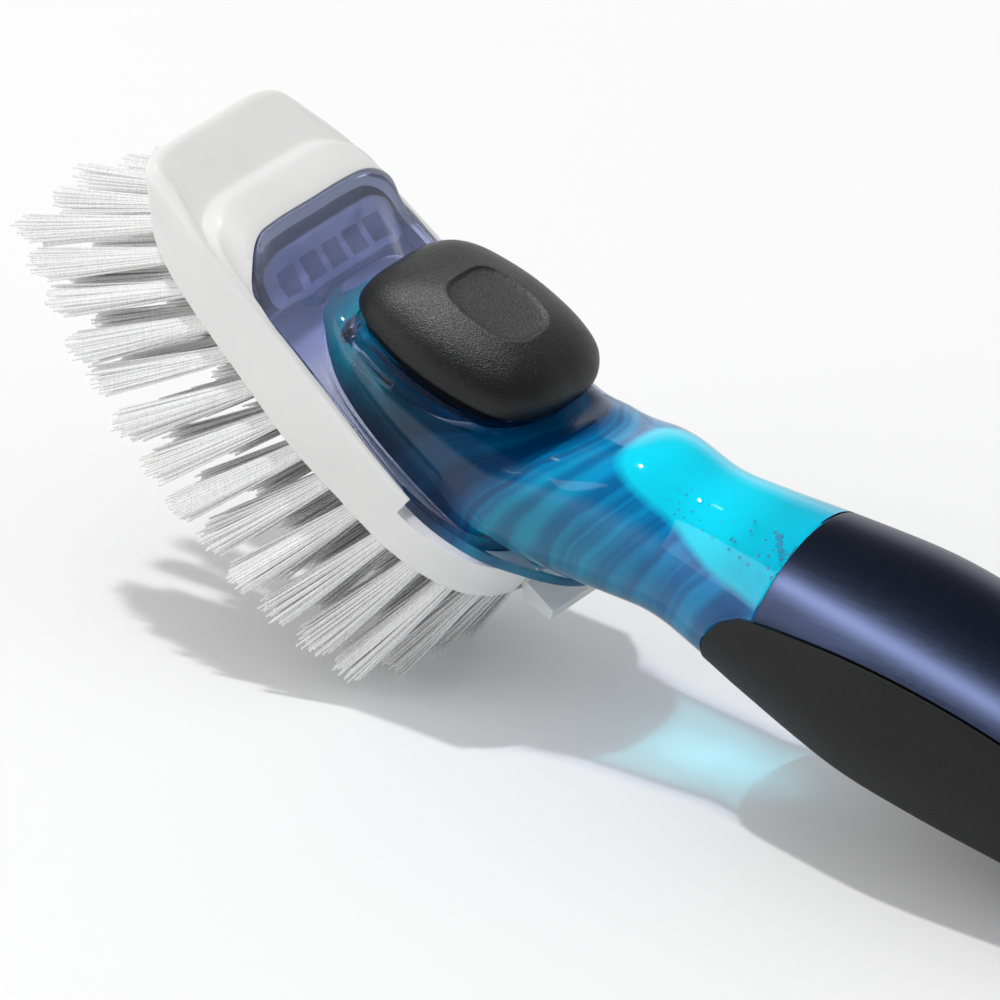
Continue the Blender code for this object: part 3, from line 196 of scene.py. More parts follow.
FACET_SHARES = (
    (0.432, 0.958), (0.42, 0.948), (0.405, 0.932), (0.38, 0.922), (0.3, 0.914),
    (0.2, 0.909), (0.1, 0.906), (0.03, 0.905),
)
WELL_WALL = 0.0010
WELL_DEPTH = 0.0088
PUMP_X = 0.0145
BARREL_RADIUS = 0.0086
NOZZLE_RADIUS = 0.0040
SEAL_SEAT_RADIUS = 0.0062
SEAL_SEAT_DEPTH = 0.0012

# Bubbles: places along the neck as start, step and scatter, and angles in degrees likewise
BUBBLE_SEED = 5
BUBBLE_ROWS = 5
BUBBLES_IN_A_ROW = 12
BUBBLE_SKIP = 0.30
BUBBLE_SIZE = (0.00018, 0.00032)
BUBBLE_ALONG = (0.0055, 0.0023, 0.0004)
BUBBLE_DEGREES = (110, 6, 2)
BUBBLE_GROWTH = (0.8, 0.7)
LARGE_BUBBLES = 5
LARGE_ALONG = (0.0275, 0.0010)
LARGE_DEGREES = (112, 4)
LARGE_SIZE = (0.0008, -0.00012)
SPECKS = 90
SPECK_SIZE = (0.00006, 0.00014)
SPECK_X = (-0.002, 0.040)
SPECK_HEIGHT = (0.009, 0.019)

# Latch
LATCH_HALF_WIDTH = 0.0068
LATCH_PIN = Vector((0.0485, 0, 0.0042))
LATCH_PIN_RADIUS = 0.0009
LATCH_BOSS = 0.0020
LATCH_THICKNESS = 0.0018
LATCH_TAB_REACH = 0.0098
LATCH_TAB_HEIGHT = 0.0042
LATCH_TOP = 0.0086
LATCH_EDGE = 0.0009
LATCH_EDGE_ANGLE = math.radians(40)

# Bristles
BRISTLE_SEED = 11
BRISTLE_LENGTH = 0.0300
BRISTLE_RAGGED = 0.0022
STRAND_RADIUS = 0.00021
STRAND_SIDES = 5
STRAND_JOINTS = 3
STRANDS_IN_A_TUFT = 84
STRAND_BEND = 0.0011
STRAND_STRAY = 0.0007
STRAND_LEAST_SHARE = 0.05
TUFT_ROOT = 0.0014
TUFT_TIP = 0.0032
TUFT_SPACING = 0.0070
TUFT_ROW_STEP = 0.0062
TUFT_LEAST_SHARE = 0.83
TUFT_EDGE = 0.0046
TUFT_CLEAR = 0.0066
BACKING_THICKNESS = 0.0018
BACKING_INSET = 0.0022
TOE_LEAN = math.radians(42)
SIDE_LEAN = math.radians(20)
LEAN_POWER = 1.3
STAND_HEIGHT = 0.0002
SIDE_REACH = 0.0322

# Clearances
GAP = 0.0003
RUN = 0.0004
OVERRUN = 0.0040
WET = 0.00006

# Looks
STEEL_GRAIN = ((3000, 2, 0.12), (3000, 2, 0.06), None)
PUMP_GRAIN = ((300, 2, 0.05), (700, 2, 0.06), (2500, 2, 0.00002, 0.4))
PLAIN = {
    # colour, roughness, metallic value, grain in tone, gloss and relief, other values, light let through
    "satin_white_plastic": (
        (0.86, 0.86, 0.855), 0.40, 0.0, ((60, 2, 0.02), (900, 3, 0.05), (2600, 3, 0.00003, 0.35)),
        {"subsurface_weight": 0.12, "subsurface_scale": 0.002, "subsurface_radius": (1.0, 0.95, 0.9)}, ()),
    "brush_backing_plastic": (
        (0.78, 0.78, 0.775), 0.45, 0.0, ((150, 2, 0.03), None, (2200, 3, 0.00003, 0.4)), {}, ()),
    "frosted_latch_plastic": (
        (0.93, 0.935, 0.94), 0.42, 0.0, ((220, 2, 0.03), None, (3500, 3, 0.00004, 0.5)),
        {"transmission_weight": 0.35, "subsurface_weight": 0.3, "subsurface_scale": 0.004, "ior": 1.3},
        ((0.88, 0.88, 0.89), (0.78, 0.78, 0.80))),
    "clear_base_plastic": (
        (0.52, 0.58, 0.80), 0.10, 0.0, ((260, 3, 0.12), (400, 2, 0.05), None),
        {"transmission_weight": 0.40, "ior": 1.45}, ((0.90, 0.91, 0.96), (0.75, 0.77, 0.86))),
    "soap_bubble_air": (
        (0.25, 0.62, 0.74), 0.05, 0.0, (None, (4000, 1, 0.03), None),
        {"transmission_weight": 0.8, "ior": 1.12}, ()),
    "pin_wire_steel": ((0.60, 0.61, 0.63), 0.3, 1.0, STEEL_GRAIN, {}, ()),
    "spring_wire_steel": ((0.62, 0.63, 0.65), 0.22, 1.0, STEEL_GRAIN, {}, ()),
    "natural_pump_plastic": (
        (0.70, 0.76, 0.84), 0.28, 0.0, PUMP_GRAIN, {"transmission_weight": 0.45, "ior": 1.49}, ()),
    "valve_silicone": (
        (0.80, 0.83, 0.86), 0.4, 0.0, PUMP_GRAIN, {"transmission_weight": 0.4, "ior": 1.49}, ()),
    "moulded_grey_plastic": ((0.30, 0.31, 0.33), 0.5, 0.0, PUMP_GRAIN, {"ior": 1.49}, ()),
    "black_seal_rubber": (
        (0.05, 0.05, 0.055), 0.6, 0.0,
        ((1800, 2, 0.2), (900, 2, 0.08), (2600, 2, 0.00003, 0.6)), {}, ()),
}
CARRIED_OVER = {
    # the CAD nodes that keep their shape, under the names of their new materials
    "pin_wire_steel": ["latch_pin"],
    "spring_wire_steel": ["return_spring"],
    "black_seal_rubber": ["nozzle_seal", "piston_seal", "cap_seal"],
    "clear_base_plastic": ["lower_housing", "front_catch", "nozzle"],
    "clear_well_plastic": ["button_well"],
    "moulded_grey_plastic": ["button_carrier"],
    "natural_pump_plastic": ["plunger_rod", "piston", "pump_barrel", "barrel_gland"],
    "valve_silicone": ["inlet_valve", "outlet_valve"],
}
CLEARS = {
    # colour, density of the tint, tint
    "clear_violet_plastic": ((0.98, 0.98, 1.0), 45.0, (0.62, 0.66, 0.92)),
    "clear_well_plastic": ((0.80, 0.93, 0.99), 90.0, (0.40, 0.70, 0.92)),
}
BLACKS = {
    # colour, roughness, scale and depth of the texture, shine
    "soft_black_button": ((0.005, 0.005, 0.0052), 0.35, 4000, 0.00014, 0.40),
    "black_grip_rubber": ((0.008, 0.008, 0.0084), 0.60, 4200, 0.00005, 0.35),
    "satin_black_cap": ((0.018, 0.018, 0.019), 0.45, 3000, 0.00002, 0.50),
}
WINDOW_HAZE_END = (-0.0080, 0.0000)
WINDOW_CLEAR = 0.90
WINDOW_HAZE = (0.70, 0.75, 0.96)
# Wobble along X of the chamber's painted shade and painted refraction lines.
SOAP_SHADE_WOBBLE = 0.006
SOAP_WANDER = 0.004
SOAP_TURN = (0.0300, 0.0325)
# Sloping line in the neck: the soap's bright colour above it, painted shade below it.
SOAP_LINE_SLOPE = 0.238
SOAP_LINE = (0.0268, 0.0282)
# Noise bands round the pump that place the painted refraction lines.
SOAP_PAINTED_LINE_NOISE = (210, 4)
SOAP_PAINTED_LINE_SPAN = (0.42, 0.62)
SOAP_SEEN_THROUGH = (0.35, 0.08)
SOAP_BRIGHT = (0.0, 0.86, 1.0)
# Painted shade in the chamber: soap colours along X, darkest under the button.
SOAP_PAINTED_SHADE = (
    (-0.008, (0, 0.3, 0.4)), (0.004, (0, 0.12, 0.19)), (0.016, (0, 0.05, 0.1)),
    (0.032, (0, 0.045, 0.12)), (0.044, (0, 0.12, 0.34)),
)
# Painted refraction lines: lighter copies of the painted shade colours, still darkest under the button.
SOAP_PAINTED_REFRACTION_LINES = (
    (-0.008, (0, 0.56, 0.64)), (0.006, (0, 0.26, 0.36)), (0.02, (0, 0.08, 0.16)),
    (0.032, (0, 0.14, 0.34)), (0.044, (0, 0.46, 0.9)),
)
# Painted shade by height in the neck below the sloping line, plain and with painted refraction lines.
SOAP_LOW_PAINTED_SHADE = ((0.020, (0.00, 0.22, 0.38)), (0.045, (0.00, 0.16, 0.42)))
SOAP_LOW_PAINTED_REFRACTION_LINES = ((0.020, (0.00, 0.42, 0.58)), (0.045, (0.00, 0.34, 0.70)))
SMOOTH_ANGLE = math.radians(38)
HEAD_SMOOTH_ANGLE = math.radians(50)
BUTTON_SMOOTH_ANGLE = math.radians(60)
STRAND_SMOOTH_ANGLE = math.radians(80)


# ---------------- curves and outlines

def catmull(points, steps, closed=False):
    """A smooth curve through points of any dimension, as tuples."""
    count = len(points)
    curve = []
    for i in range(count if closed else count - 1):
        if closed:
            p0, p1, p2, p3 = (points[(i + k) % count] for k in (-1, 0, 1, 2))
        else:
            p0, p1 = points[max(i - 1, 0)], points[i]
            p2, p3 = points[i + 1], points[min(i + 2, count - 1)]
        for k in range(steps):
            t = k / steps
            curve.append(tuple(
                0.5 * (2 * b + (c - a) * t + (2 * a - 5 * b + 4 * c - d) * t ** 2
                       + (3 * b - a - 3 * c + d) * t ** 3)
                for a, b, c, d in zip(p0, p1, p2, p3)))
    if not closed:
        curve.append(tuple(points[-1]))
    return curve


def table_value(table, share):
    """Straight-line reading of a two-column table."""
    for (a, va), (b, vb) in zip(table, table[1:]):
        if share <= b:
            return va + (vb - va) * max(share - a, 0) / (b - a)
    return table[-1][1]


def smooth_step(low, high, value):
    t = min(max((value - low) / (high - low), 0), 1)
    return t * t * (3 - 2 * t)


def spread(start, end, count):
    return [start + (end - start) * k / count for k in range(count + 1)]


def quarter_turn(steps):
    """Pairs of 1 - cosine and 1 - sine through a quarter circle."""
    angles = spread(0, math.pi / 2, steps)
    return [(1 - math.cos(angle), 1 - math.sin(angle)) for angle in angles]


def plan_outline(shares, front, rear, half_width, inset=0.0, steps=6):
    """Closed plan outline from a half table of shares, symmetric about the XZ plane."""
    length = rear - front
    near = [(front + u * length, -v * half_width) for u, v in shares]
    far = [(x, -y) for x, y in reversed(near[1:-1])]
    curve = catmull(near + far, steps, closed=True)
    if inset:
        curve = inset_outline(curve, inset)
    return curve


def inset_outline(outline, inset):
    """Move an anticlockwise outline inwards along its normals, by a number or a function of x."""
    moved = []
    count = len(outline)
    for i, (x, y) in enumerate(outline):
        ax, ay = outline[i - 1]
        bx, by = outline[(i + 1) % count]
        size = math.hypot(bx - ax, by - ay)
        amount = inset(x) if callable(inset) else inset
        moved.append((x - (by - ay) / size * amount, y + (bx - ax) / size * amount))
    return moved


def shrink_outline(outline, share):
    """Scale an outline about the middle of its length."""
    xs = [x for x, y in outline]
    middle = (min(xs) + max(xs)) / 2
    return [(middle + (x - middle) * share, y * share) for x, y in outline]


def lift_outline(outline, height):
    """Outline points at a height, which is a number or a function of x."""
    return [Vector((x, y, height(x) if callable(height) else height)) for x, y in outline]


def blend_rings(first, last, shares):
    """Rings between two others: share across, share up."""
    rings = []
    for across, up in shares:
        ring = []
        for a, b in zip(first, last):
            point = a.lerp(b, across)
            point.z = a.z + (b.z - a.z) * up
            ring.append(point)
        rings.append(ring)
    return rings


def foot_outline(inset=0.0):
    """Plan of the head's underside."""
    return plan_outline(FOOT_SHARES, FOOT_FRONT, HEAD_REAR, HEAD_HALF_WIDTH, inset)


def eased(first, last, start, end, x):
    """A value that turns smoothly from first to last between two places."""
    return first + (last - first) * smooth_step(start, end, x)


def edge_height(x):
    """Height of the brim's edge: raised at the window, level along the sides."""
    return eased(COLLAR_HEIGHT, RIM_HEIGHT, BRIM_FRONT, COLLAR_CREST_REAR, x)


def toe_height(x):
    """Height of the head's outer edge: low at the toe, the rim's height along the sides."""
    return eased(TOE_HEIGHT, RIM_HEIGHT, HEAD_FRONT, COLLAR_FOOT_FRONT, x)


def shoulder_height(x):
    """Height of the crest that the toe's plateau steps up to."""
    return eased(COLLAR_SHOULDER, RIM_HEIGHT, COLLAR_CREST_FRONT, COLLAR_CREST_REAR, x)


def button_rim(x):
    return BUTTON_RIM_HEIGHT + BUTTON_SLOPE * (x - PUMP_X)


def roof_height(x):
    """Roof of the chamber: clear of the pressed button under it, then up to the neck."""
    under = button_rim(min(x, BUTTON_REAR)) - BUTTON_TRAVEL - 2 * RUN
    return eased(under, SKIRT_BASE + CHAMBER_HEIGHT, BUTTON_REAR, CHAMBER_FRONT + CHAMBER_LENGTH, x)


def superellipse(count, power):
    """Unit superellipse points, starting at +Y."""
    points = []
    for i in range(count):
        c, s = math.cos(math.tau * i / count), math.sin(math.tau * i / count)
        points.append((math.copysign(abs(c) ** (2 / power), c), math.copysign(abs(s) ** (2 / power), s)))
    return points


def body_rings(inset, floor, tail=0.0, end_wall=0.0, count=64, steps=7):
    """Rings of the chamber, neck and tank tube: outside, or inside by an inset."""
    stations = []
    for u, width, square in CHAMBER_SHARES:
        x = CHAMBER_FRONT + inset + u * (CHAMBER_LENGTH - inset)
        top = roof_height(x) - inset
        bottom = max(floor, SKIRT_BASE + HEEL_LIFT + inset) if u == 1 else floor
        stations.append((x, (top + bottom) / 2, 0, width * CHAMBER_HALF_WIDTH - inset,
                         (top - bottom) / 2, SQUARENESS * square))
    for u, share in HANDLE_SHARES:
        along = u * (HANDLE_LENGTH - end_wall)
        shrink = inset + smooth_step(GRIP_NOSE - OVERRUN, SLEEVE_START, along) * tail
        centre = NECK + HANDLE_AXIS * along
        radius = share * HANDLE_RADIUS - shrink
        stations.append((centre.x, centre.z, HANDLE_ANGLE, radius, radius, 2))
    rings = []
    for x, z, tilt, wide, tall, power in catmull(stations, steps):
        rings.append([
            Vector((x - math.sin(tilt) * tall * b, wide * a, z + math.cos(tilt) * tall * b))
            for a, b in superellipse(count, power)])
    return rings


def inside_rings(inset):
    """Rings of the hollow inside the clear body, open downwards under the chamber."""
    floor = SKIRT_BASE - OVERRUN - WALL + inset
    return body_rings(inset, floor, GRIP_THICKNESS + 2 * GAP, inset)


def handle_radius(along):
    curve = catmull(HANDLE_SHARES, 12)
    return table_value(curve, min(along, HANDLE_LENGTH) / HANDLE_LENGTH) * HANDLE_RADIUS


def handle_point(along, radius, angle):
    """Point at an angle about the handle's axis, from +Y towards its upper side."""
    centre = NECK + HANDLE_AXIS * along
    return centre + SIDE * radius * math.cos(angle) + HANDLE_NORMAL * radius * math.sin(angle)


def handle_ring(along, radius, count=64):
    return [handle_point(along, radius, math.tau * i / count) for i in range(count)]


GRIP_EDGE_CURVE = catmull(GRIP_EDGE_SHARES, 8)


def grip_angle(along):
    """Angle, up from the side, of the grip's top edge at a place along the handle."""
    return math.asin(max(-1, min(1, table_value(GRIP_EDGE_CURVE, along / HANDLE_LENGTH))))


# ---------------- meshes

def finish_mesh(bm):
    bmesh.ops.recalc_face_normals(bm, faces=bm.faces)
    mesh = bpy.data.meshes.new("shape")
    bm.to_mesh(mesh)
    bm.free()
    return mesh


def bridge(bm, rows):
    """Faces between each row of corners and the next. A corner met twice in a face counts once."""
    for a, b in zip(rows, rows[1:]):
        for i in range(len(a)):
            j = (i + 1) % len(a)
            corners = list(dict.fromkeys((a[i], a[j], b[j], b[i])))
            if len(corners) > 2:
                bm.faces.new(corners)


def loft(rings, ends="fans"):
    """Closed mesh through rings of equal length: ends as fans, as one face each, or joined."""
    bm = bmesh.new()
    rows = [[bm.verts.new(p) for p in ring] for ring in rings]
    bridge(bm, rows + rows[:1] if ends == "joined" else rows)
    if ends == "faces":
        bm.faces.new(rows[0])
        bm.faces.new(rows[-1])
    if ends == "fans":
        for row, ring in ((rows[0], rings[0]), (rows[-1], rings[-1])):
            middle = bm.verts.new(sum(ring, Vector()) / len(ring))
            bridge(bm, [row, [middle] * len(row)])
    return finish_mesh(bm)


def turned(profile, sides=64, place=Matrix.Identity(4), wobble=None):
    """Solid of revolution about local Z from (radius, height) points, closed on itself."""
    bm = bmesh.new()
    rows = []
    for k, (radius, height) in enumerate(profile):
        if radius == 0:
            rows.append([bm.verts.new((0, 0, height))] * sides)
            continue
        row = []
        for i in range(sides):
            angle = math.tau * i / sides
            r = radius - (wobble(k, angle) if wobble else 0)
            row.append(bm.verts.new((r * math.cos(angle), r * math.sin(angle), height)))
        rows.append(row)
    bridge(bm, rows + rows[:1] if profile[0][0] else rows)
    mesh = finish_mesh(bm)
    mesh.transform(place)
    return mesh


def prism(outline, low, high):
    """Solid between two heights over an outline."""
    return loft([lift_outline(outline, low), lift_outline(outline, high)], "faces")


def rod(radius, low, high, place, sides=48):
    return turned(((0, low), (radius, low), (radius, high), (0, high)), sides, place)


def pump_bore(radius, low, high):
    return rod(radius, low, high, Matrix.Translation((PUMP_X, 0, 0)))


def pin_bore(reach):
    lay = Matrix.Translation(LATCH_PIN) @ Matrix.Rotation(math.pi / 2, 4, "X")
    return rod(LATCH_PIN_RADIUS + GAP, -reach, reach, lay, 24)


def handle_plug(start, end, radius):
    """Round plug across the handle."""
    return loft([handle_ring(start, radius), handle_ring(end, radius)])


def box(low, high):
    bm = bmesh.new()
    size = Vector(high) - Vector(low)
    middle = (Vector(high) + Vector(low)) / 2
    bmesh.ops.create_cube(bm, size=1, matrix=Matrix.Translation(middle) @ Matrix.Diagonal((*size, 1)))
    return finish_mesh(bm)


def add_object(name, data):
    thing = bpy.data.objects.new(name, data)
    bpy.context.scene.collection.objects.link(thing)
    return thing


def carve(mesh, steps):
    """Apply a run of Booleans, given as pairs of an operation and a mesh."""
    target = add_object("carve_target", mesh)
    tools = []
    for operation, tool_mesh in steps:
        tool = add_object("carve_tool", tool_mesh)
        tools.append(tool)
        modifier = target.modifiers.new("carve", "BOOLEAN")
        modifier.operation = operation
        modifier.solver = "MANIFOLD"
        modifier.object = tool
    graph = bpy.context.evaluated_depsgraph_get()
    result = bpy.data.meshes.new_from_object(target.evaluated_get(graph))
    for thing in [target] + tools:
        bpy.data.objects.remove(thing, do_unlink=True)
    return result


def cuts(*meshes):
    return [("DIFFERENCE", mesh) for mesh in meshes]


def piece(name, mesh, material, body, *nodes, angle=SMOOTH_ANGLE):
    """A visible piece in the row's frame, riding on a body and standing for CAD nodes."""
    mesh.transform(TO_ROW)
    mesh.materials.clear()
    mesh.materials.append(material)
    mesh.shade_smooth()
    mesh.set_sharp_from_angle(angle=angle)
    thing = add_object(name, mesh)
    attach(thing, body)
    if nodes:
        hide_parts(*nodes)
    return thing


# ---------------- materials

def put(tree, socket, value):
    """Feed a shader socket from another node's output, a colour or a number."""
    if isinstance(value, bpy.types.NodeSocket):
        tree.links.new(value, socket)
    elif socket.type == "RGBA":
        socket.default_value = (*value, 1.0)
    else:
        socket.default_value = value


def shader_node(tree, kind, output, inputs, operation=None):
    """One output of a new shader node, with its inputs fed."""
    node = tree.nodes.new("ShaderNode" + kind)
    if operation:
        node.operation = operation
    for name, value in inputs.items():
        put(tree, node.inputs[name], value)
    return node.outputs[output]


class Look:
    """A material under construction: its node tree and its Principled shader."""

    def __init__(self, name, colour, roughness, metallic=0.0):
        self.material = bpy.data.materials.new(name)
        self.material.use_nodes = True
        self.tree = self.material.node_tree
        self.shader = self.tree.nodes["Principled BSDF"]
        self.output = self.tree.nodes["Material Output"]
        self.colour = colour
        self.roughness = roughness
        self.place = self.node("TexCoord", "Object", {})
        self.set(base_color=colour, roughness=roughness, metallic=metallic)

    def set(self, **values):
        for name, value in values.items():
            socket = self.shader.inputs[name.replace("_", " ").title().replace("Ior", "IOR")]
            put(self.tree, socket, value)

    def node(self, kind, output, inputs, operation=None):
        return shader_node(self.tree, kind, output, inputs, operation)

    def mapped(self, **inputs):
        """Coordinates turned to the head's own directions, and moved or stretched."""
        return self.node("Mapping", "Vector", {"Vector": self.place, "Rotation": (0, -TILT, 0), **inputs})

    def in_head(self):
        """Coordinates of the head's own frame."""
        return self.mapped(Location=TO_ROW.inverted().translation)

    def head_axis(self, name):
        return self.node("SeparateXYZ", name, {"Vector": self.in_head()})

    def distance_from(self, x):
        """Distance from an upright axis of the head."""
        inputs = {0: self.in_head(), 1: (1, 1, 0), 2: (-x, 0, 0)}
        flat = self.node("VectorMath", "Vector", inputs, "MULTIPLY_ADD")
        return self.node("VectorMath", "Value", {0: flat}, "LENGTH")

    def noise(self, scale, detail, roughness=0.55, vector=None):
        inputs = {"Vector": vector or self.place, "Scale": scale, "Detail": detail, "Roughness": roughness}
        return self.node("TexNoise", "Fac", inputs)

    def bands(self, value, scale, detail):
        """Noise along one value."""
        node = self.tree.nodes.new("ShaderNodeTexNoise")
        node.noise_dimensions = "1D"
        for name, fed in (("W", value), ("Scale", scale), ("Detail", detail)):
            put(self.tree, node.inputs[name], fed)
        return node.outputs["Fac"]

    def multiply_add(self, value, factor, other):
        return self.node("Math", "Value", {0: value, 1: factor, 2: other}, "MULTIPLY_ADD")

    def blend(self, share, first, second):
        """A mix of two colours."""
        node = self.tree.nodes.new("ShaderNodeMix")
        node.data_type = "RGBA"
        for index, fed in ((0, share), (6, first), (7, second)):
            put(self.tree, node.inputs[index], fed)
        return node.outputs[2]

    def span(self, value, low, high, start=0.3, end=0.7):
        """A value spread between two numbers."""
        inputs = {"Value": value, "From Min": start, "From Max": end, "To Min": low, "To Max": high}
        return self.node("MapRange", "Result", inputs)

    def ramp(self, value, low, high, start=0.3, end=0.7):
        """A value spread between two colours."""
        return self.blend(self.span(value, 0.0, 1.0, start, end), low, high)

    def stops(self, value, table):
        """A value read against a table of places and colours."""
        low, high = table[0][0], table[-1][0]
        node = self.tree.nodes.new("ShaderNodeValToRGB")
        elements = node.color_ramp.elements
        while len(elements) < len(table):
            elements.new(0.5)
        for element, (place, colour) in zip(elements, table):
            element.position = (place - low) / (high - low)
            element.color = (*colour, 1.0)
        put(self.tree, node.inputs["Fac"], self.span(value, 0.0, 1.0, low, high))
        return node.outputs["Color"]

    def tone(self, value, amount):
        """Vary the colour a little about its own value."""
        low = [c * (1 - amount) for c in self.colour]
        high = [min(c * (1 + amount), 1) for c in self.colour]
        self.set(base_color=self.ramp(value, low, high))

    def gloss(self, value, amount):
        """Vary the roughness about its own value."""
        self.set(roughness=self.span(value, self.roughness - amount, self.roughness + amount))

    def bump(self, value, depth, strength):
        """Relief, on top of any relief before it."""
        inputs = {"Height": value, "Distance": depth, "Strength": strength}
        normal = self.shader.inputs["Normal"]
        if normal.is_linked:
            inputs["Normal"] = normal.links[0].from_socket
        self.set(normal=self.node("Bump", "Normal", inputs))

    def grain(self, tone=None, gloss=None, bump=None):
        """Plain noise in the tone, gloss and relief: each its scale, its detail and its amounts."""
        for change, values in ((self.tone, tone), (self.gloss, gloss), (self.bump, bump)):
            if values:
                change(self.noise(*values[:2]), *values[2:])

    def absorb(self, colour, density):
        volume = self.node("VolumeAbsorption", "Volume", {"Color": colour, "Density": density})
        put(self.tree, self.output.inputs["Volume"], volume)

    def let_light_through(self, centre, edge):
        """Shadow rays pass, tinted: more where they meet the surface square on than at its edges."""
        facing = self.node("LayerWeight", "Facing", {"Blend": 0.4})
        tint = self.ramp(facing, centre, edge, 0.25, 0.75)
        clear = self.node("BsdfTransparent", "BSDF", {"Color": tint})
        shadow = self.node("LightPath", "Is Shadow Ray", {})
        mix = self.node("MixShader", "Shader", {0: shadow, 1: self.shader.outputs["BSDF"], 2: clear})
        put(self.tree, self.output.inputs["Surface"], mix)


def plain(name):
    """A material whose values are all in the table."""
    colour, roughness, metallic, grain, values, tints = PLAIN[name]
    look = Look(name, colour, roughness, metallic)
    look.grain(*grain)
    look.set(**values)
    if tints:
        look.let_light_through(*tints)
    return look.material


def nylon():
    look = Look("white_nylon_strands", (0.93, 0.93, 0.93), 0.30)
    along = look.noise(700, 2, vector=look.mapped(Scale=(4, 4, 0.25)))
    look.tone(along, 0.07)
    look.gloss(along, 0.08)
    look.set(ior=1.5)
    look.let_light_through((0.96, 0.96, 0.96), (0.90, 0.90, 0.90))
    return look.material


def clear_plastic(name):
    """Clear plastic, a little hazy over the front window, where it is textured inside."""
    colour, density, tint = CLEARS[name]
    look = Look(name, colour, 0.012)
    look.grain(gloss=(130, 3, 0.008), bump=(60, 2, 0.00008, 0.08))
    in_window = look.span(look.head_axis("X"), 1.0, 0.0, *WINDOW_HAZE_END)
    look.set(ior=1.45, transmission_weight=look.span(in_window, 1.0, WINDOW_CLEAR, 0.0, 1.0),
             base_color=look.blend(in_window, colour, WINDOW_HAZE))
    look.absorb(tint, density)
    look.let_light_through((0.985, 0.985, 0.995), (0.90, 0.90, 0.95))
    return look.material


def soap_liquid():
    """Bright in the neck above a sloping line; painted shade under that line and in the chamber, darkest
    under the button, with painted refraction lines curving round the pump.
    """
    look = Look("blue_soap_liquid", (0.0, 0.66, 0.98), 0.02)
    x, z = look.head_axis("X"), look.head_axis("Z")
    along = look.multiply_add(look.noise(90, 2), SOAP_SHADE_WOBBLE, x)
    away = look.multiply_add(look.noise(60, 2), SOAP_WANDER, look.distance_from(PUMP_X))
    # painted refraction lines: bands of noise round the pump's axis
    painted_lines = look.span(look.bands(away, *SOAP_PAINTED_LINE_NOISE), 0.0, 1.0, *SOAP_PAINTED_LINE_SPAN)
    # chamber: painted shade along X, darkest under the button, mixed with painted refraction lines
    chamber = look.blend(painted_lines, look.stops(along, SOAP_PAINTED_SHADE), look.stops(along, SOAP_PAINTED_REFRACTION_LINES))
    # below the neck's sloping line: painted shade by height
    low = look.blend(painted_lines, look.stops(z, SOAP_LOW_PAINTED_SHADE), look.stops(z, SOAP_LOW_PAINTED_REFRACTION_LINES))
    level = look.multiply_add(x, -SOAP_LINE_SLOPE, z)
    neck = look.ramp(level, low, SOAP_BRIGHT, *SOAP_LINE)
    in_neck = look.span(away, 0.0, 1.0, *SOAP_TURN)
    look.bump(look.noise(70, 1), 0.0003, 0.18)
    look.set(ior=1.34, specular_ior_level=0.1, base_color=look.blend(in_neck, chamber, neck),
             transmission_weight=look.span(in_neck, *SOAP_SEEN_THROUGH, 0.0, 1.0))
    look.absorb((0.05, 0.85, 0.99), 30.0)
    look.let_light_through((0.50, 0.78, 0.78), (0.12, 0.20, 0.22))
    return look.material


def soft_black(name):
    """Moulded black soft plastic with a spark-eroded texture, coarse and fine."""
    colour, roughness, scale, depth, shine = BLACKS[name]
    look = Look(name, colour, roughness)
    look.grain(tone=(scale * 0.7, 2, 0.35), gloss=(scale, 2, 0.10))
    look.bump(look.noise(scale, 2, 0.5), depth, 0.8)
    look.bump(look.noise(scale * 0.35, 2, 0.5), depth, 0.35)
    look.set(specular_ior_level=shine)
    return look.material


def sleeve_metal():
    look = Look("dark_blue_gloss_metal", (0.042, 0.054, 0.100), 0.34, 1.0)
    lines = look.noise(900, 3, vector=look.mapped(Scale=(0.15, 3.0, 3.0)))
    look.tone(lines, 0.07)
    look.gloss(lines, 0.02)
    look.bump(lines, 0.000005, 0.3)
    return look.material


# ---------------- head

def round_rings(outline, height, radius, turns=5):
    """Rings round a top outer edge: radius is a function of x."""
    rings = []
    for inward, down in quarter_turn(turns):
        ring = inset_outline(outline, lambda x, share=inward: radius(x) * share)
        heights = [height(x) - radius(x) * down for x, y in outline]
        rings.append([Vector((x, y, z)) for (x, y), z in zip(ring, heights)])
    return rings


def edge_radius(x):
    """Rounding of the head's outer edge: wide at the toe, narrow along the sides."""
    return eased(TOE_ROUND, SIDE_ROUND, HEAD_FRONT + OVERRUN, COLLAR_FOOT_FRONT + 2 * OVERRUN, x)


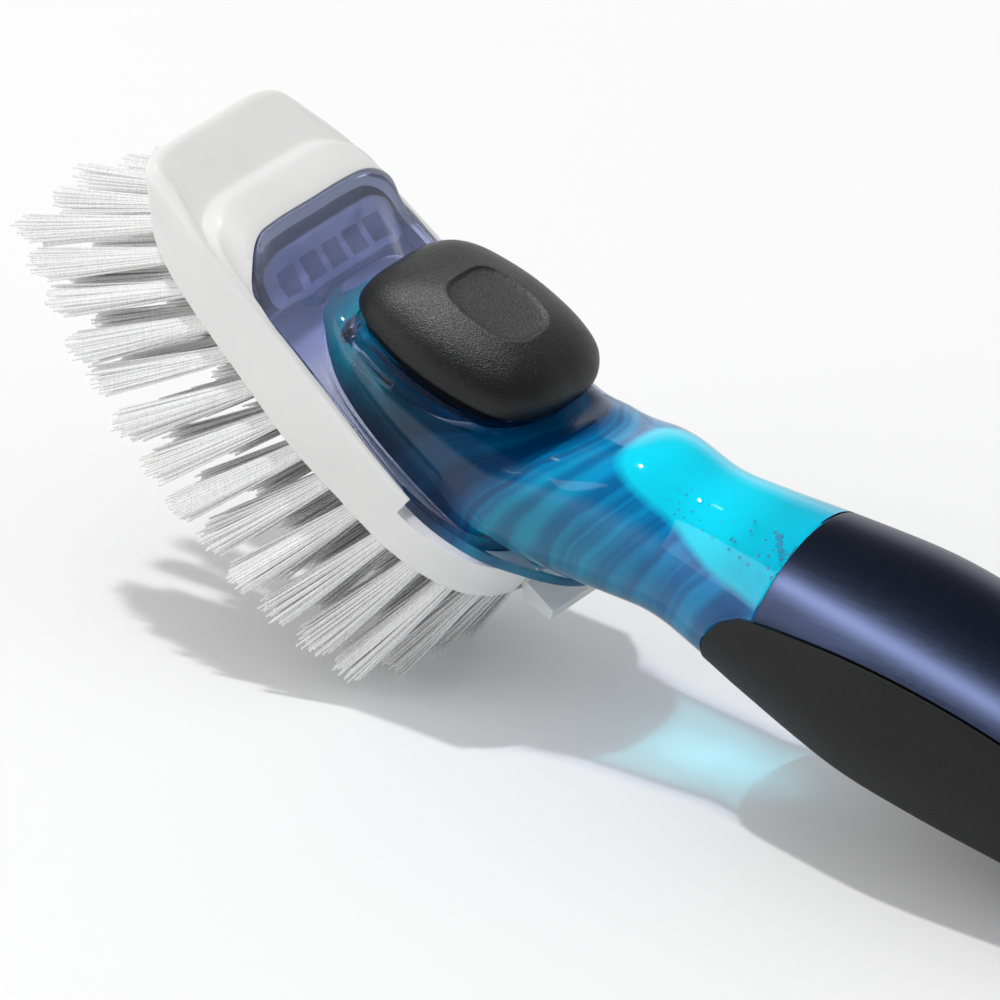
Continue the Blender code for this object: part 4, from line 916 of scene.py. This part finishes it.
def make_head_block(material):
    """White block: skirt, toe plateau, collar round the window, pocket and heel slot."""
    foot = foot_outline()
    edge = plan_outline(HEAD_SHARES, HEAD_FRONT, HEAD_REAR, HEAD_TOP_HALF_WIDTH)
    collar_width = HEAD_TOP_HALF_WIDTH - EDGE_ROUND
    collar_rear = HEAD_REAR - EDGE_ROUND
    collar_foot = lift_outline(
        plan_outline(COLLAR_SHARES, COLLAR_FOOT_FRONT, collar_rear, collar_width, GAP / 3), toe_height)
    crest = lift_outline(
        plan_outline(COLLAR_SHARES, COLLAR_CREST_FRONT, collar_rear, collar_width, 2 * GAP / 3),
        shoulder_height)
    lip = lift_outline(
        plan_outline(BRIM_SHARES, BRIM_FRONT - 2 * GAP, collar_rear, BRIM_HALF_WIDTH - GAP), edge_height)
    rounding = round_rings(edge, toe_height, edge_radius)
    bottom = lift_outline(foot, EDGE_ROUND / 2)
    rings = [lift_outline(inset_outline(foot, EDGE_ROUND / 2), 0)]
    rings += [lift_outline(inset_outline(foot, EDGE_ROUND / 8), EDGE_ROUND / 6), bottom]
    rings += blend_rings(bottom, rounding[0], SIDE_SHARES)
    rings += rounding
    rings += blend_rings(rounding[-1], collar_foot, PLATEAU_SHARES)
    rings += blend_rings(collar_foot, crest, CREST_SHARES)
    rings += blend_rings(crest, lip, LIP_SHARES)
    block = loft(rings)

    inner = plan_outline(SKIRT_SHARES, SKIRT_FRONT - GAP, SKIRT_REAR + GAP, SKIRT_HALF_WIDTH + GAP)
    outer = plan_outline(BRIM_SHARES, BRIM_FRONT - GAP, BRIM_REAR + GAP, BRIM_HALF_WIDTH + GAP)
    top = COLLAR_HEIGHT + OVERRUN

    def ledge_height(x):
        return edge_height(x) - BRIM_THICKNESS - GAP

    ledge = loft([lift_outline(inner, ledge_height), lift_outline(outer, ledge_height),
                  lift_outline(outer, top)], "faces")
    pocket = prism(inner, HEAD_FLOOR, top + OVERRUN)
    wide = HEAD_HALF_WIDTH + OVERRUN
    notch = box((NOTCH_START, -wide, NOTCH_HEIGHT), (HEAD_REAR + OVERRUN, wide, top))
    recess = prism(inset_outline(foot, BACKING_INSET - GAP), -OVERRUN, BACKING_THICKNESS + GAP)
    half = LATCH_HALF_WIDTH + RUN
    slot = box((LATCH_PIN.x - LATCH_BOSS - RUN, -half, BACKING_THICKNESS),
               (HEAD_REAR + OVERRUN, half, COLLAR_HEIGHT))
    relief = box((HEAD_REAR - BACKING_INSET - GAP, -half, BACKING_THICKNESS - LATCH_BOSS / 2),
                 (HEAD_REAR + 2 * OVERRUN, half, BACKING_THICKNESS + 2 * GAP))
    block = carve(block, cuts(
        ledge, pocket, notch, recess, pump_bore(NOZZLE_RADIUS + RUN, -OVERRUN, HEAD_FLOOR + OVERRUN),
        pump_bore(SEAL_SEAT_RADIUS, HEAD_FLOOR - SEAL_SEAT_DEPTH, HEAD_FLOOR + OVERRUN),
        slot, relief, pin_bore(half + LATCH_THICKNESS)))
    piece("brush_head", block, material, "head", "head_block", angle=HEAD_SMOOTH_ANGLE)


def make_backing(material):
    """Plate that the tufts stand in, with the nozzle's hole."""
    plate = prism(foot_outline(BACKING_INSET), 0, BACKING_THICKNESS)
    plate = carve(plate, cuts(pump_bore(NOZZLE_RADIUS + RUN, -OVERRUN, OVERRUN)))
    piece("bristle_backing", plate, material, "head", "bristle_field")


def spaced_along(outline, spacing):
    """Points at even steps along a closed outline."""
    lengths = [math.dist(outline[i - 1], outline[i]) for i in range(len(outline))]
    count = round(sum(lengths) / spacing)
    step = sum(lengths) / count
    places = []
    travelled = 0.0
    for i, length in enumerate(lengths):
        a, b = outline[i - 1], outline[i]
        while len(places) < count and travelled + length > len(places) * step:
            t = (len(places) * step - travelled) / length
            places.append((a[0] + (b[0] - a[0]) * t, a[1] + (b[1] - a[1]) * t))
        travelled += length
    return places


def tuft_places():
    """Centres of the tufts: two rows that follow the edge, and straight rows between them."""
    wanted = []
    for inset in (TUFT_EDGE, TUFT_EDGE + TUFT_ROW_STEP):
        wanted += spaced_along(foot_outline(inset), TUFT_SPACING)
    start = FOOT_FRONT + TUFT_EDGE + 2 * TUFT_ROW_STEP
    end = HEAD_REAR - TUFT_EDGE - 2 * TUFT_ROW_STEP
    along = spread(start, end, round((end - start) / TUFT_SPACING))
    for row in (-1, 0, 1):
        wanted += [(x, row * (TUFT_ROW_STEP + TUFT_ROOT)) for x in along]
    places = []
    for x, y in wanted:
        apart = all(math.dist((x, y), place) > TUFT_LEAST_SHARE * TUFT_SPACING for place in places)
        if apart and math.hypot(x - PUMP_X, y) > TUFT_CLEAR:
            places.append((x, y))
    return places


def strand_direction(x, y):
    """Toe tufts lean forward, side tufts outward, and heel tufts stand square."""
    heel_share = min(max((HEAD_REAR - x) / (HEAD_REAR - HEAD_FRONT), 0), 1)
    forward = math.tan(TOE_LEAN) * heel_share ** LEAN_POWER
    outward = math.tan(SIDE_LEAN) * y / HEAD_HALF_WIDTH
    return Vector((-forward, outward, -1)).normalized()


def strand_path(root, tip, bend):
    """Points from root to tip with a slight bow, cut off where the brush stands on the floor."""
    points = [root.lerp(tip, t) + bend * t * t for t in spread(0, 1, STRAND_JOINTS)]
    low = (TO_ROW @ points[-1]).z
    if low < STAND_HEIGHT:
        before = (TO_ROW @ points[-2]).z
        share = (before - STAND_HEIGHT) / (before - low)
        points[-1] = points[-2].lerp(points[-1], max(share, STRAND_LEAST_SHARE))
    return points


def add_strand(bm, points):
    along = (points[-1] - points[0]).normalized()
    across = along.cross(SIDE).normalized() * STRAND_RADIUS
    beside = along.cross(across)
    angles = [math.tau * i / STRAND_SIDES for i in range(STRAND_SIDES)]
    rows = [[bm.verts.new(centre + across * math.cos(angle) + beside * math.sin(angle))
             for angle in angles] for centre in points]
    bridge(bm, rows)
    bm.faces.new(reversed(rows[0]))
    bm.faces.new(rows[-1])


def make_bristles(material):
    """Tufts of fine strands that fan out from their holes, with ragged tips."""
    chance = random.Random(BRISTLE_SEED)
    bm = bmesh.new()
    for x, y in tuft_places():
        direction = strand_direction(x, y)
        twist = chance.uniform(0, math.tau)
        sway = Vector((chance.gauss(0, 1), chance.gauss(0, 1), 0)) * STRAND_STRAY
        for k in range(STRANDS_IN_A_TUFT):
            share = math.sqrt((k + 0.5) / STRANDS_IN_A_TUFT)
            angle = twist + k * math.pi * (3 - math.sqrt(5))
            ray = Vector((math.cos(angle), math.sin(angle), 0)) * share
            root = Vector((x, y, BACKING_THICKNESS / 2)) + ray * TUFT_ROOT
            length = BRISTLE_LENGTH - BRISTLE_RAGGED * chance.random() ** 2
            stray = Vector((chance.gauss(0, 1), chance.gauss(0, 1), 0)) * STRAND_STRAY / 2
            tip = root + direction * length + ray * (TUFT_TIP - TUFT_ROOT) + stray + sway
            tip.y = max(-SIDE_REACH, min(SIDE_REACH, tip.y))
            bend = Vector((direction.z, 0, 0)) * STRAND_BEND * 0.5
            add_strand(bm, strand_path(root, tip, bend))
    mesh = bpy.data.meshes.new("strands")
    bm.to_mesh(mesh)
    bm.free()
    piece("bristle_tufts", mesh, material, "head", "bristle_field", angle=STRAND_SMOOTH_ANGLE)


def make_latch(material):
    """Frosted heel tab on its pin, with softened edges."""
    back = LATCH_PIN.x + LATCH_THICKNESS
    tip = LATCH_PIN.x + LATCH_TAB_REACH
    foot = LATCH_PIN.z - LATCH_BOSS + GAP
    front = LATCH_PIN.x - LATCH_BOSS + GAP
    shoulder = LATCH_TAB_HEIGHT - LATCH_THICKNESS
    outline = ((front, foot + LATCH_BOSS / 2), (front + LATCH_BOSS / 2, foot), (back, foot),
               (back + LATCH_BOSS, shoulder - LATCH_THICKNESS),
               (tip - LATCH_BOSS, shoulder - LATCH_THICKNESS / 2),
               (tip, shoulder), (tip - LATCH_BOSS / 3, LATCH_TAB_HEIGHT),
               (back + GAP, LATCH_TAB_HEIGHT - GAP), (back, LATCH_TOP), (LATCH_PIN.x - GAP, LATCH_TOP))
    rings = [[Vector((x, y, z)) for x, z in outline] for y in (-LATCH_HALF_WIDTH, LATCH_HALF_WIDTH)]
    latch = carve(loft(rings, "faces"), cuts(pin_bore(LATCH_HALF_WIDTH + OVERRUN)))
    bevel = piece("heel_latch", latch, material, "latch", "release_latch").modifiers.new("soften", "BEVEL")
    bevel.width = LATCH_EDGE
    bevel.segments = 3
    bevel.limit_method = "ANGLE"
    bevel.angle_limit = LATCH_EDGE_ANGLE
    bevel.harden_normals = True


# ---------------- clear body and soap

def button_outline(inset):
    return plan_outline(BUTTON_SHARES, BUTTON_FRONT, BUTTON_REAR, BUTTON_HALF_WIDTH, inset)


def button_solid(inset, low, high):
    """Prism under the button's plan whose floor and top follow the rim's slope."""
    return prism(button_outline(inset), lambda x: button_rim(x) + low, lambda x: button_rim(x) + high)


def handle_tube(places, low, high):
    """Full ring of the handle's form between two insets."""
    rings = [handle_ring(along, handle_radius(along) - low) for along in places]
    rings += [handle_ring(along, handle_radius(along) - high) for along in reversed(places)]
    return loft(rings, "joined")


def handle_band(places, low, high, arc, lead=0.0, count=32):
    """Plain C-shaped band of the handle's form: arc gives its end angles at a place."""
    rings = []
    for along in places:
        first, last = arc(along)
        radius = handle_radius(along)
        inner = [(radius - low, angle) for angle in spread(first, last, count)]
        outer = [(radius - high, angle) for angle in spread(last, first, count)]
        rings.append([handle_point(along - lead, r, a) for r, a in inner + outer])
    return loft(rings, "faces")


def grip_arc(grow):
    """End angles of the grip's underside arc, its edges moved out by a clearance."""
    def arc(along):
        edge = grip_angle(along) + grow / HANDLE_RADIUS
        return edge, -math.pi - edge
    return arc


def grip_places():
    """Places along the handle for the grip's sections, close together round its nose."""
    return [u * HANDLE_LENGTH for u, v in GRIP_EDGE_CURVE]


def make_clear_body(material):
    """Clear body in one moulding: brim, window, chamber, neck and tank tube."""
    brim = plan_outline(BRIM_SHARES, BRIM_FRONT, BRIM_REAR, BRIM_HALF_WIDTH)
    skirt = plan_outline(SKIRT_SHARES, SKIRT_FRONT, SKIRT_REAR, SKIRT_HALF_WIDTH)
    rings = [lift_outline(skirt, SKIRT_BASE),
             lift_outline(skirt, lambda x: edge_height(x) - BRIM_THICKNESS),
             lift_outline(brim, lambda x: edge_height(x) - BRIM_THICKNESS)]
    rings += round_rings(brim, edge_height, lambda x: BRIM_THICKNESS / 3, 4)
    window = lift_outline(inset_outline(brim, WINDOW_INSET), lambda x: edge_height(x) + WINDOW_CROWN)
    rings += blend_rings(rings[-1], window, WINDOW_SHARES)
    housing = loft(rings)
    chamber = loft(body_rings(0, SKIRT_BASE))
    neck_end = HANDLE_LENGTH + FILL_NECK_LENGTH
    fill_neck = handle_plug(HANDLE_LENGTH - OVERRUN, neck_end, FILL_NECK_RADIUS)
    fill_bore = handle_plug(HANDLE_LENGTH - 2 * OVERRUN, neck_end + OVERRUN, FILL_NECK_BORE)
    bay_outline = plan_outline(BAY_SHARES, BAY_FRONT, BAY_REAR, BAY_HALF_WIDTH)
    bay = loft([lift_outline(bay_outline, SKIRT_BASE - OVERRUN),
                lift_outline(bay_outline, lambda x: edge_height(x) - BAY_ROOF)])
    opening = button_solid(BUTTON_OVERHANG - WELL_WALL - 2 * RUN - GAP, -WELL_DEPTH - OVERRUN, BUTTON_CROWN)
    sleeve_seat = handle_tube(spread(SLEEVE_START - GAP, HANDLE_LENGTH + OVERRUN, 28),
                              SLEEVE_THICKNESS + GAP, -OVERRUN)
    grip_seat = handle_band(grip_places() + [HANDLE_LENGTH + OVERRUN], GRIP_THICKNESS + GAP, -2 * OVERRUN,
                            grip_arc(GAP), GAP)
    housing = carve(housing, [("UNION", chamber), ("UNION", fill_neck)] + cuts(
        loft(inside_rings(WALL)), fill_bore, bay, opening, sleeve_seat, grip_seat))
    piece("clear_body", housing, material, "body", "upper_housing")


def make_soap(material):
    """The liquid, which wets the chamber, the neck and the tank's inside."""
    soap = loft(inside_rings(WALL - WET))
    wide = HEAD_HALF_WIDTH + OVERRUN
    well = button_solid(BUTTON_OVERHANG - 2 * RUN - WELL_WALL - WET, -WELL_DEPTH - WELL_WALL - WET,
                        BUTTON_CROWN)
    behind = handle_plug(HANDLE_LENGTH - OVERRUN, HANDLE_LENGTH + OVERRUN, HANDLE_RADIUS)
    soap = carve(soap, cuts(
        box((HEAD_FRONT, -wide, -OVERRUN), (HEAD_REAR, wide, BASE_TOP - WET)), well,
        pump_bore(BARREL_RADIUS + WET, 0, BUTTON_RIM_HEIGHT), behind))
    piece("soap_liquid", soap, material, "body", "soap_fill")


def chamber_half_width(x):
    """Half width of the chamber's outside at mid height."""
    share = (x - CHAMBER_FRONT) / CHAMBER_LENGTH
    return table_value([(u, width) for u, width, square in CHAMBER_SHARES], share) * CHAMBER_HALF_WIDTH


def make_bubbles(material):
    """Rows of small bubbles under the neck's top, a few large ones by the sleeve, and specks."""
    chance = random.Random(BUBBLE_SEED)
    spots = []

    def on_neck(along, degrees, size):
        radius = handle_radius(along) - WALL
        spots.append((handle_point(along, radius, math.radians(degrees)), size))

    def placed(values, k):
        """The start plus k steps, and the scatter where there is one."""
        start, step, *scatter = values
        return start + k * step + (chance.gauss(0, scatter[0]) if scatter else 0)

    for row in range(BUBBLE_ROWS):
        for k in range(BUBBLES_IN_A_ROW):
            if chance.random() < BUBBLE_SKIP:
                continue
            along, degrees = placed(BUBBLE_ALONG, k), placed(BUBBLE_DEGREES, row)
            least, more = BUBBLE_GROWTH
            grow = least + more * (k / (BUBBLES_IN_A_ROW - 1)) ** 2
            on_neck(along, degrees, chance.uniform(*BUBBLE_SIZE) * grow)
    for k in range(LARGE_BUBBLES):
        on_neck(placed(LARGE_ALONG, k), placed(LARGE_DEGREES, k), placed(LARGE_SIZE, k))
    for k in range(SPECKS):
        x = chance.uniform(*SPECK_X)
        height = chance.uniform(*SPECK_HEIGHT)
        y = -(chamber_half_width(x) - WALL)
        spots.append((Vector((x, y, height)), chance.uniform(*SPECK_SIZE)))
    bm = bmesh.new()
    for place, size in spots:
        bmesh.ops.create_icosphere(bm, subdivisions=2, radius=size, matrix=Matrix.Translation(place))
    piece("soap_bubbles", finish_mesh(bm), material, "body")


# ---------------- button

def make_button(material):
    """Soft cap: cavity, skirt, overhanging rim, and a dome with a sunk facet for the thumb."""
    rings = []
    inner = BUTTON_OVERHANG + BUTTON_WALL
    for inset, rise in ((inner, GAP), (inner, -BUTTON_SKIRT + GAP), (inner - GAP, -BUTTON_SKIRT),
                        (BUTTON_OVERHANG + GAP, -BUTTON_SKIRT), (BUTTON_OVERHANG, -BUTTON_SKIRT + GAP),
                        (BUTTON_OVERHANG, 0), (BUTTON_RIM_THICKNESS / 3, 0),
                        (BUTTON_RIM_THICKNESS / 12, BUTTON_RIM_LIFT)):
        rings.append(lift_outline(button_outline(inset), lambda x, rise=rise: button_rim(x) + rise))
    middle = (BUTTON_FRONT + BUTTON_REAR) / 2
    for plan_share, rise_share in catmull(BUTTON_DOME_SHARES, 5) + list(FACET_SHARES):
        shift = (FACET_CENTRE - middle) * min((1 - plan_share) / (1 - FACET_SHARE), 1)
        outline = [(x + shift, y) for x, y in shrink_outline(button_outline(0), plan_share)]
        rise = rise_share * BUTTON_DOME
        rings.append(lift_outline(outline, lambda x, rise=rise: button_rim(x) + rise))
    return piece("thumb_button", loft(rings), material, "button", "button_cap", angle=BUTTON_SMOOTH_ANGLE)


# ---------------- handle

def rounded_band(places, low, high, arc, edge_round, end_round, count=40, steps=4):
    """C-shaped band with rounded edges and ends, from inset low inside to inset high outside."""
    start, end = places[0], places[-1]
    turns = quarter_turn(steps)
    stations = [(start + end_round * a, end_round * b) for a, b in turns]
    stations += [(along, 0.0) for along in places if start + end_round < along < end - end_round]
    stations += [(end - end_round * b, end_round * a) for a, b in turns]
    rings = []
    for along, shrink in stations:
        first, last = arc(along)
        radius = handle_radius(along)
        outer = high + shrink
        turn = math.copysign(edge_round / radius, last - first)
        section = [(radius - low, angle) for angle in spread(first, last, count)]
        section += [(radius - outer - edge_round * b, last - turn * a) for a, b in turns]
        section += [(radius - outer, angle) for angle in spread(last - turn, first + turn, count)[1:-1]]
        section += [(radius - outer - edge_round * b, first + turn * a) for a, b in reversed(turns)]
        rings.append([handle_point(along, r, angle) for r, angle in section])
    return loft(rings, "faces")


def sleeve_arc(along):
    edge = grip_angle(along) + GAP / HANDLE_RADIUS
    return edge, math.pi - edge


def make_sleeve(material):
    """Metal skin over the top of the handle."""
    places = spread(SLEEVE_START, HANDLE_LENGTH - GAP, 40)
    sleeve = rounded_band(places, SLEEVE_THICKNESS, 0, sleeve_arc, *SLEEVE_ROUNDS)
    return piece("metal_sleeve", sleeve, material, "body", "steel_sleeve")


def make_grip(material):
    """Soft grip round the underside and both sides of the handle."""
    places = grip_places()[:-1] + [HANDLE_LENGTH - GAP]
    grip = rounded_band(places, GRIP_THICKNESS, -GRIP_PROUD, grip_arc(0), *GRIP_ROUNDS)
    piece("soft_grip", grip, material, "body", "handle_grip")


def make_fill_end(black):
    """End collar and the fluted screw cap."""
    axis = Matrix.Translation(NECK) @ Matrix.Rotation(math.pi / 2 - HANDLE_ANGLE, 4, "Y")
    rim = HANDLE_END_RADIUS - GAP
    low = HANDLE_LENGTH + GAP
    high = HANDLE_LENGTH + COLLAR_LENGTH
    round_off = COLLAR_LENGTH / 3
    bore = FILL_NECK_RADIUS + GAP
    profile = [(bore, low), (rim - GAP / 2, low), (rim, low + GAP / 2)]
    profile += [(rim - round_off * a, high - round_off * b) for a, b in quarter_turn(5)]
    profile.append((bore, high))
    piece("handle_end_ring", turned(profile, 96, axis), black, "body", "end_collar")

    start = high + GAP
    end = start + CAP_LENGTH
    face = CAP_RADIUS * CAP_FACE_SHARE
    ceiling = HANDLE_LENGTH + FILL_NECK_LENGTH + 2 * GAP + SEAL_THICKNESS
    profile = [(0, ceiling), (bore, ceiling), (bore, start), (CAP_RADIUS - GAP, start),
               (CAP_RADIUS, start + GAP), (CAP_RADIUS, start + 3 * GAP),
               (CAP_RADIUS, start + 4 * GAP), (CAP_RADIUS, end - CAP_ROUND - GAP)]
    fluted = {6, 7}
    profile += [(CAP_RADIUS - (CAP_RADIUS - face) * a, end - CAP_ROUND * b) for a, b in quarter_turn(8)]
    edge, foot = CAP_DIMPLE_SHARES
    profile += [(face * edge, end), (face * foot, end - GAP), (0, end - GAP)]

    def wobble(k, angle):
        if k not in fluted:
            return 0
        return CAP_FLUTE_DEPTH * (0.5 + 0.5 * math.cos(CAP_FLUTES * angle)) ** 2

    piece("screw_cap", turned(profile, CAP_FLUTES * 8, axis, wobble), black, "cap", "fill_cap")


# ---------------- carried-over CAD nodes

def dress_nodes():
    """Better materials and smooth shading for the CAD nodes that keep their shape."""
    for name, nodes in CARRIED_OVER.items():
        material = clear_plastic(name) if name in CLEARS else plain(name)
        for node in nodes:
            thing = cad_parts[node]
            for slot in thing.material_slots:
                slot.material = material
            if not thing.material_slots:
                thing.data.materials.append(material)
            thing.data.shade_smooth()
            thing.data.set_sharp_from_angle(angle=SMOOTH_ANGLE)


def squeeze_spring():
    """The return spring gets its own copy of its mesh."""
    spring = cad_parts["return_spring"]
    bpy.context.view_layer.update()
    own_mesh(spring)


# ---------------- stage

CAMERA_TARGET = Vector((-0.042294, 0.005508, 0.030519))
CAMERA_AZIMUTH = math.radians(34.79)
CAMERA_ELEVATION = math.radians(29.74)
CAMERA_ROLL = math.radians(-2.09)
CAMERA_DISTANCE = 1.9465
SENSOR = 36.0
FOCAL_SHARE = 11.054

FLOOR_REACH = 6.0
FLOOR_DROP = 0.0001
FLOOR_SEEN = 0.975
FLOOR_SENT = 0.80
WORLD_LIGHT = 0.56
WALL_SEEN = 1.0
CEILING_SEEN = 0.16
WALL_TO_CEILING = (0.12, 0.45)
SUN_AZIMUTH = math.radians(-88)
SUN_ELEVATION = math.radians(72)
SUN_POWER = 1.15
SUN_SIZE = math.radians(2.2)
SOFTBOXES = {
    # direction, point it is aimed at, distance, length, width, power
    "sleeve_strip": ((-0.249, -0.607, 0.755), (0.055, -0.014, 0.040), 1.2, 1.4, 0.15, 13.0),
    "button_box": ((-0.12, 0.72, 0.68), (-0.045, 0.0, 0.075), 1.0, 0.26, 0.26, 1.15),
    "button_key": ((-0.22, 0.25, 0.94), (-0.045, 0.0, 0.075), 1.0, 0.34, 0.34, 6.0),
    "front_box": ((-0.62, -0.62, 0.48), (-0.05, 0.0, 0.03), 1.6, 1.2, 1.2, 6.0),
}


def place_camera():
    """The photo's camera, turned by its azimuth, elevation and roll about the target."""
    az, el, roll = CAMERA_AZIMUTH, CAMERA_ELEVATION, CAMERA_ROLL
    off = Vector((math.sin(az) * math.cos(el), -math.cos(az) * math.cos(el), math.sin(el)))
    level = Vector((math.cos(az), math.sin(az), 0))
    raised = off.cross(level)
    right = level * math.cos(roll) - raised * math.sin(roll)
    up = level * math.sin(roll) + raised * math.cos(roll)
    camera = add_object("photo_camera", bpy.data.cameras.new("photo_camera"))
    camera.data.sensor_width = SENSOR
    camera.data.lens = SENSOR * FOCAL_SHARE
    turn = Matrix((right, up, off)).transposed().to_4x4()
    camera.matrix_world = Matrix.Translation(CAMERA_TARGET + off * CAMERA_DISTANCE) @ turn
    bpy.context.scene.camera = camera


def make_floor():
    """Pale floor that looks nearly white to the camera and sends a little less light on."""
    bm = bmesh.new()
    corners = ((-1, -1), (1, -1), (1, 1), (-1, 1))
    bm.faces.new([bm.verts.new((x * FLOOR_REACH, y * FLOOR_REACH, -FLOOR_DROP)) for x, y in corners])
    mesh = finish_mesh(bm)
    sent, seen = [FLOOR_SENT] * 3, [FLOOR_SEEN] * 3
    look = Look("pale_floor", sent, 0.9)
    rays = [look.node("LightPath", name, {}) for name in ("Is Camera Ray", "Is Transmission Ray")]
    shown = look.node("Math", "Value", {0: rays[0], 1: rays[1]}, "MAXIMUM")
    look.set(specular_ior_level=0.0, base_color=look.ramp(shown, sent, seen, 0.0, 1.0))
    mesh.materials.append(look.material)
    add_object("studio_floor", mesh)


def make_world():
    """Even light on surfaces. What is seen or mirrored is a white wall under a dim ceiling."""
    world = bpy.data.worlds.new("studio_world")
    bpy.context.scene.world = world
    world.use_nodes = True
    tree = world.node_tree

    def ray(name):
        return shader_node(tree, "LightPath", name, {})

    def combined(operation, first, second):
        return shader_node(tree, "Math", "Value", {0: first, 1: second}, operation)

    place = shader_node(tree, "TexCoord", "Generated", {})
    height = shader_node(tree, "SeparateXYZ", "Z", {"Vector": place})
    start, end = WALL_TO_CEILING
    shade = shader_node(tree, "MapRange", "Result", {"Value": height, "From Min": start, "From Max": end,
                                                     "To Min": WALL_SEEN, "To Max": CEILING_SEEN})
    seen = shader_node(tree, "Background", "Background", {"Color": shade})
    even = tree.nodes["Background"]
    put(tree, even.inputs["Color"], (1, 1, 1))
    put(tree, even.inputs["Strength"], WORLD_LIGHT)
    shown = combined("MAXIMUM", ray("Is Camera Ray"), ray("Is Glossy Ray"))
    shown = combined("MAXIMUM", shown, ray("Is Transmission Ray"))
    shown = combined("MULTIPLY", shown, combined("LESS_THAN", ray("Diffuse Depth"), 0.5))
    mix = shader_node(tree, "MixShader", "Shader", {0: shown, 1: even.outputs["Background"], 2: seen})
    put(tree, tree.nodes["World Output"].inputs["Surface"], mix)


def make_sun():
    sun = add_object("key_sun", bpy.data.lights.new("key_sun", "SUN"))
    sun.data.energy = SUN_POWER
    sun.data.angle = SUN_SIZE
    az, el = SUN_AZIMUTH, SUN_ELEVATION
    from_sun = Vector((math.sin(az) * math.cos(el), math.cos(az) * math.cos(el), math.sin(el)))
    sun.rotation_mode = "QUATERNION"
    sun.rotation_quaternion = (-from_sun).to_track_quat("-Z", "Y")
    return sun


def make_softbox(name):
    """Flat softbox at a distance from the point it lights, its long side along the handle."""
    direction, aim, distance, length, width, power = SOFTBOXES[name]
    lamp = add_object(name, bpy.data.lights.new(name, "AREA"))
    lamp.data.shape = "RECTANGLE"
    lamp.data.size = length
    lamp.data.size_y = width
    lamp.data.energy = power
    towards = Vector(direction).normalized()
    place = Vector(aim) + towards * distance
    across = (TO_ROW.to_3x3() @ HANDLE_AXIS).cross(towards).normalized()
    along = towards.cross(across)
    lamp.matrix_world = Matrix.Translation(place) @ Matrix((-along, across, towards)).transposed().to_4x4()
    return lamp


def link_light(lamp, thing, state):
    """Keep a lamp to one piece, or off it, as a flag in the studio does."""
    group = bpy.data.collections.new(lamp.name + "_flag")
    group.objects.link(thing)
    group.collection_objects[0].light_linking.link_state = state
    lamp.light_linking.receiver_collection = group


# ---------------- build

def build():
    place_camera()
    make_floor()
    make_world()
    sun = make_sun()
    make_softbox("front_box")
    dress_nodes()
    squeeze_spring()
    make_head_block(plain("satin_white_plastic"))
    make_backing(plain("brush_backing_plastic"))
    make_bristles(nylon())
    make_latch(plain("frosted_latch_plastic"))
    make_clear_body(clear_plastic("clear_violet_plastic"))
    make_soap(soap_liquid())
    make_bubbles(plain("soap_bubble_air"))
    button = make_button(soft_black("soft_black_button"))
    sleeve = make_sleeve(sleeve_metal())
    make_grip(soft_black("black_grip_rubber"))
    make_fill_end(soft_black("satin_black_cap"))
    link_light(sun, sleeve, "EXCLUDE")
    link_light(make_softbox("sleeve_strip"), sleeve, "INCLUDE")
    link_light(make_softbox("button_box"), button, "INCLUDE")
    link_light(make_softbox("button_key"), button, "INCLUDE")
    bpy.context.scene.view_settings.view_transform = "Standard"


build()
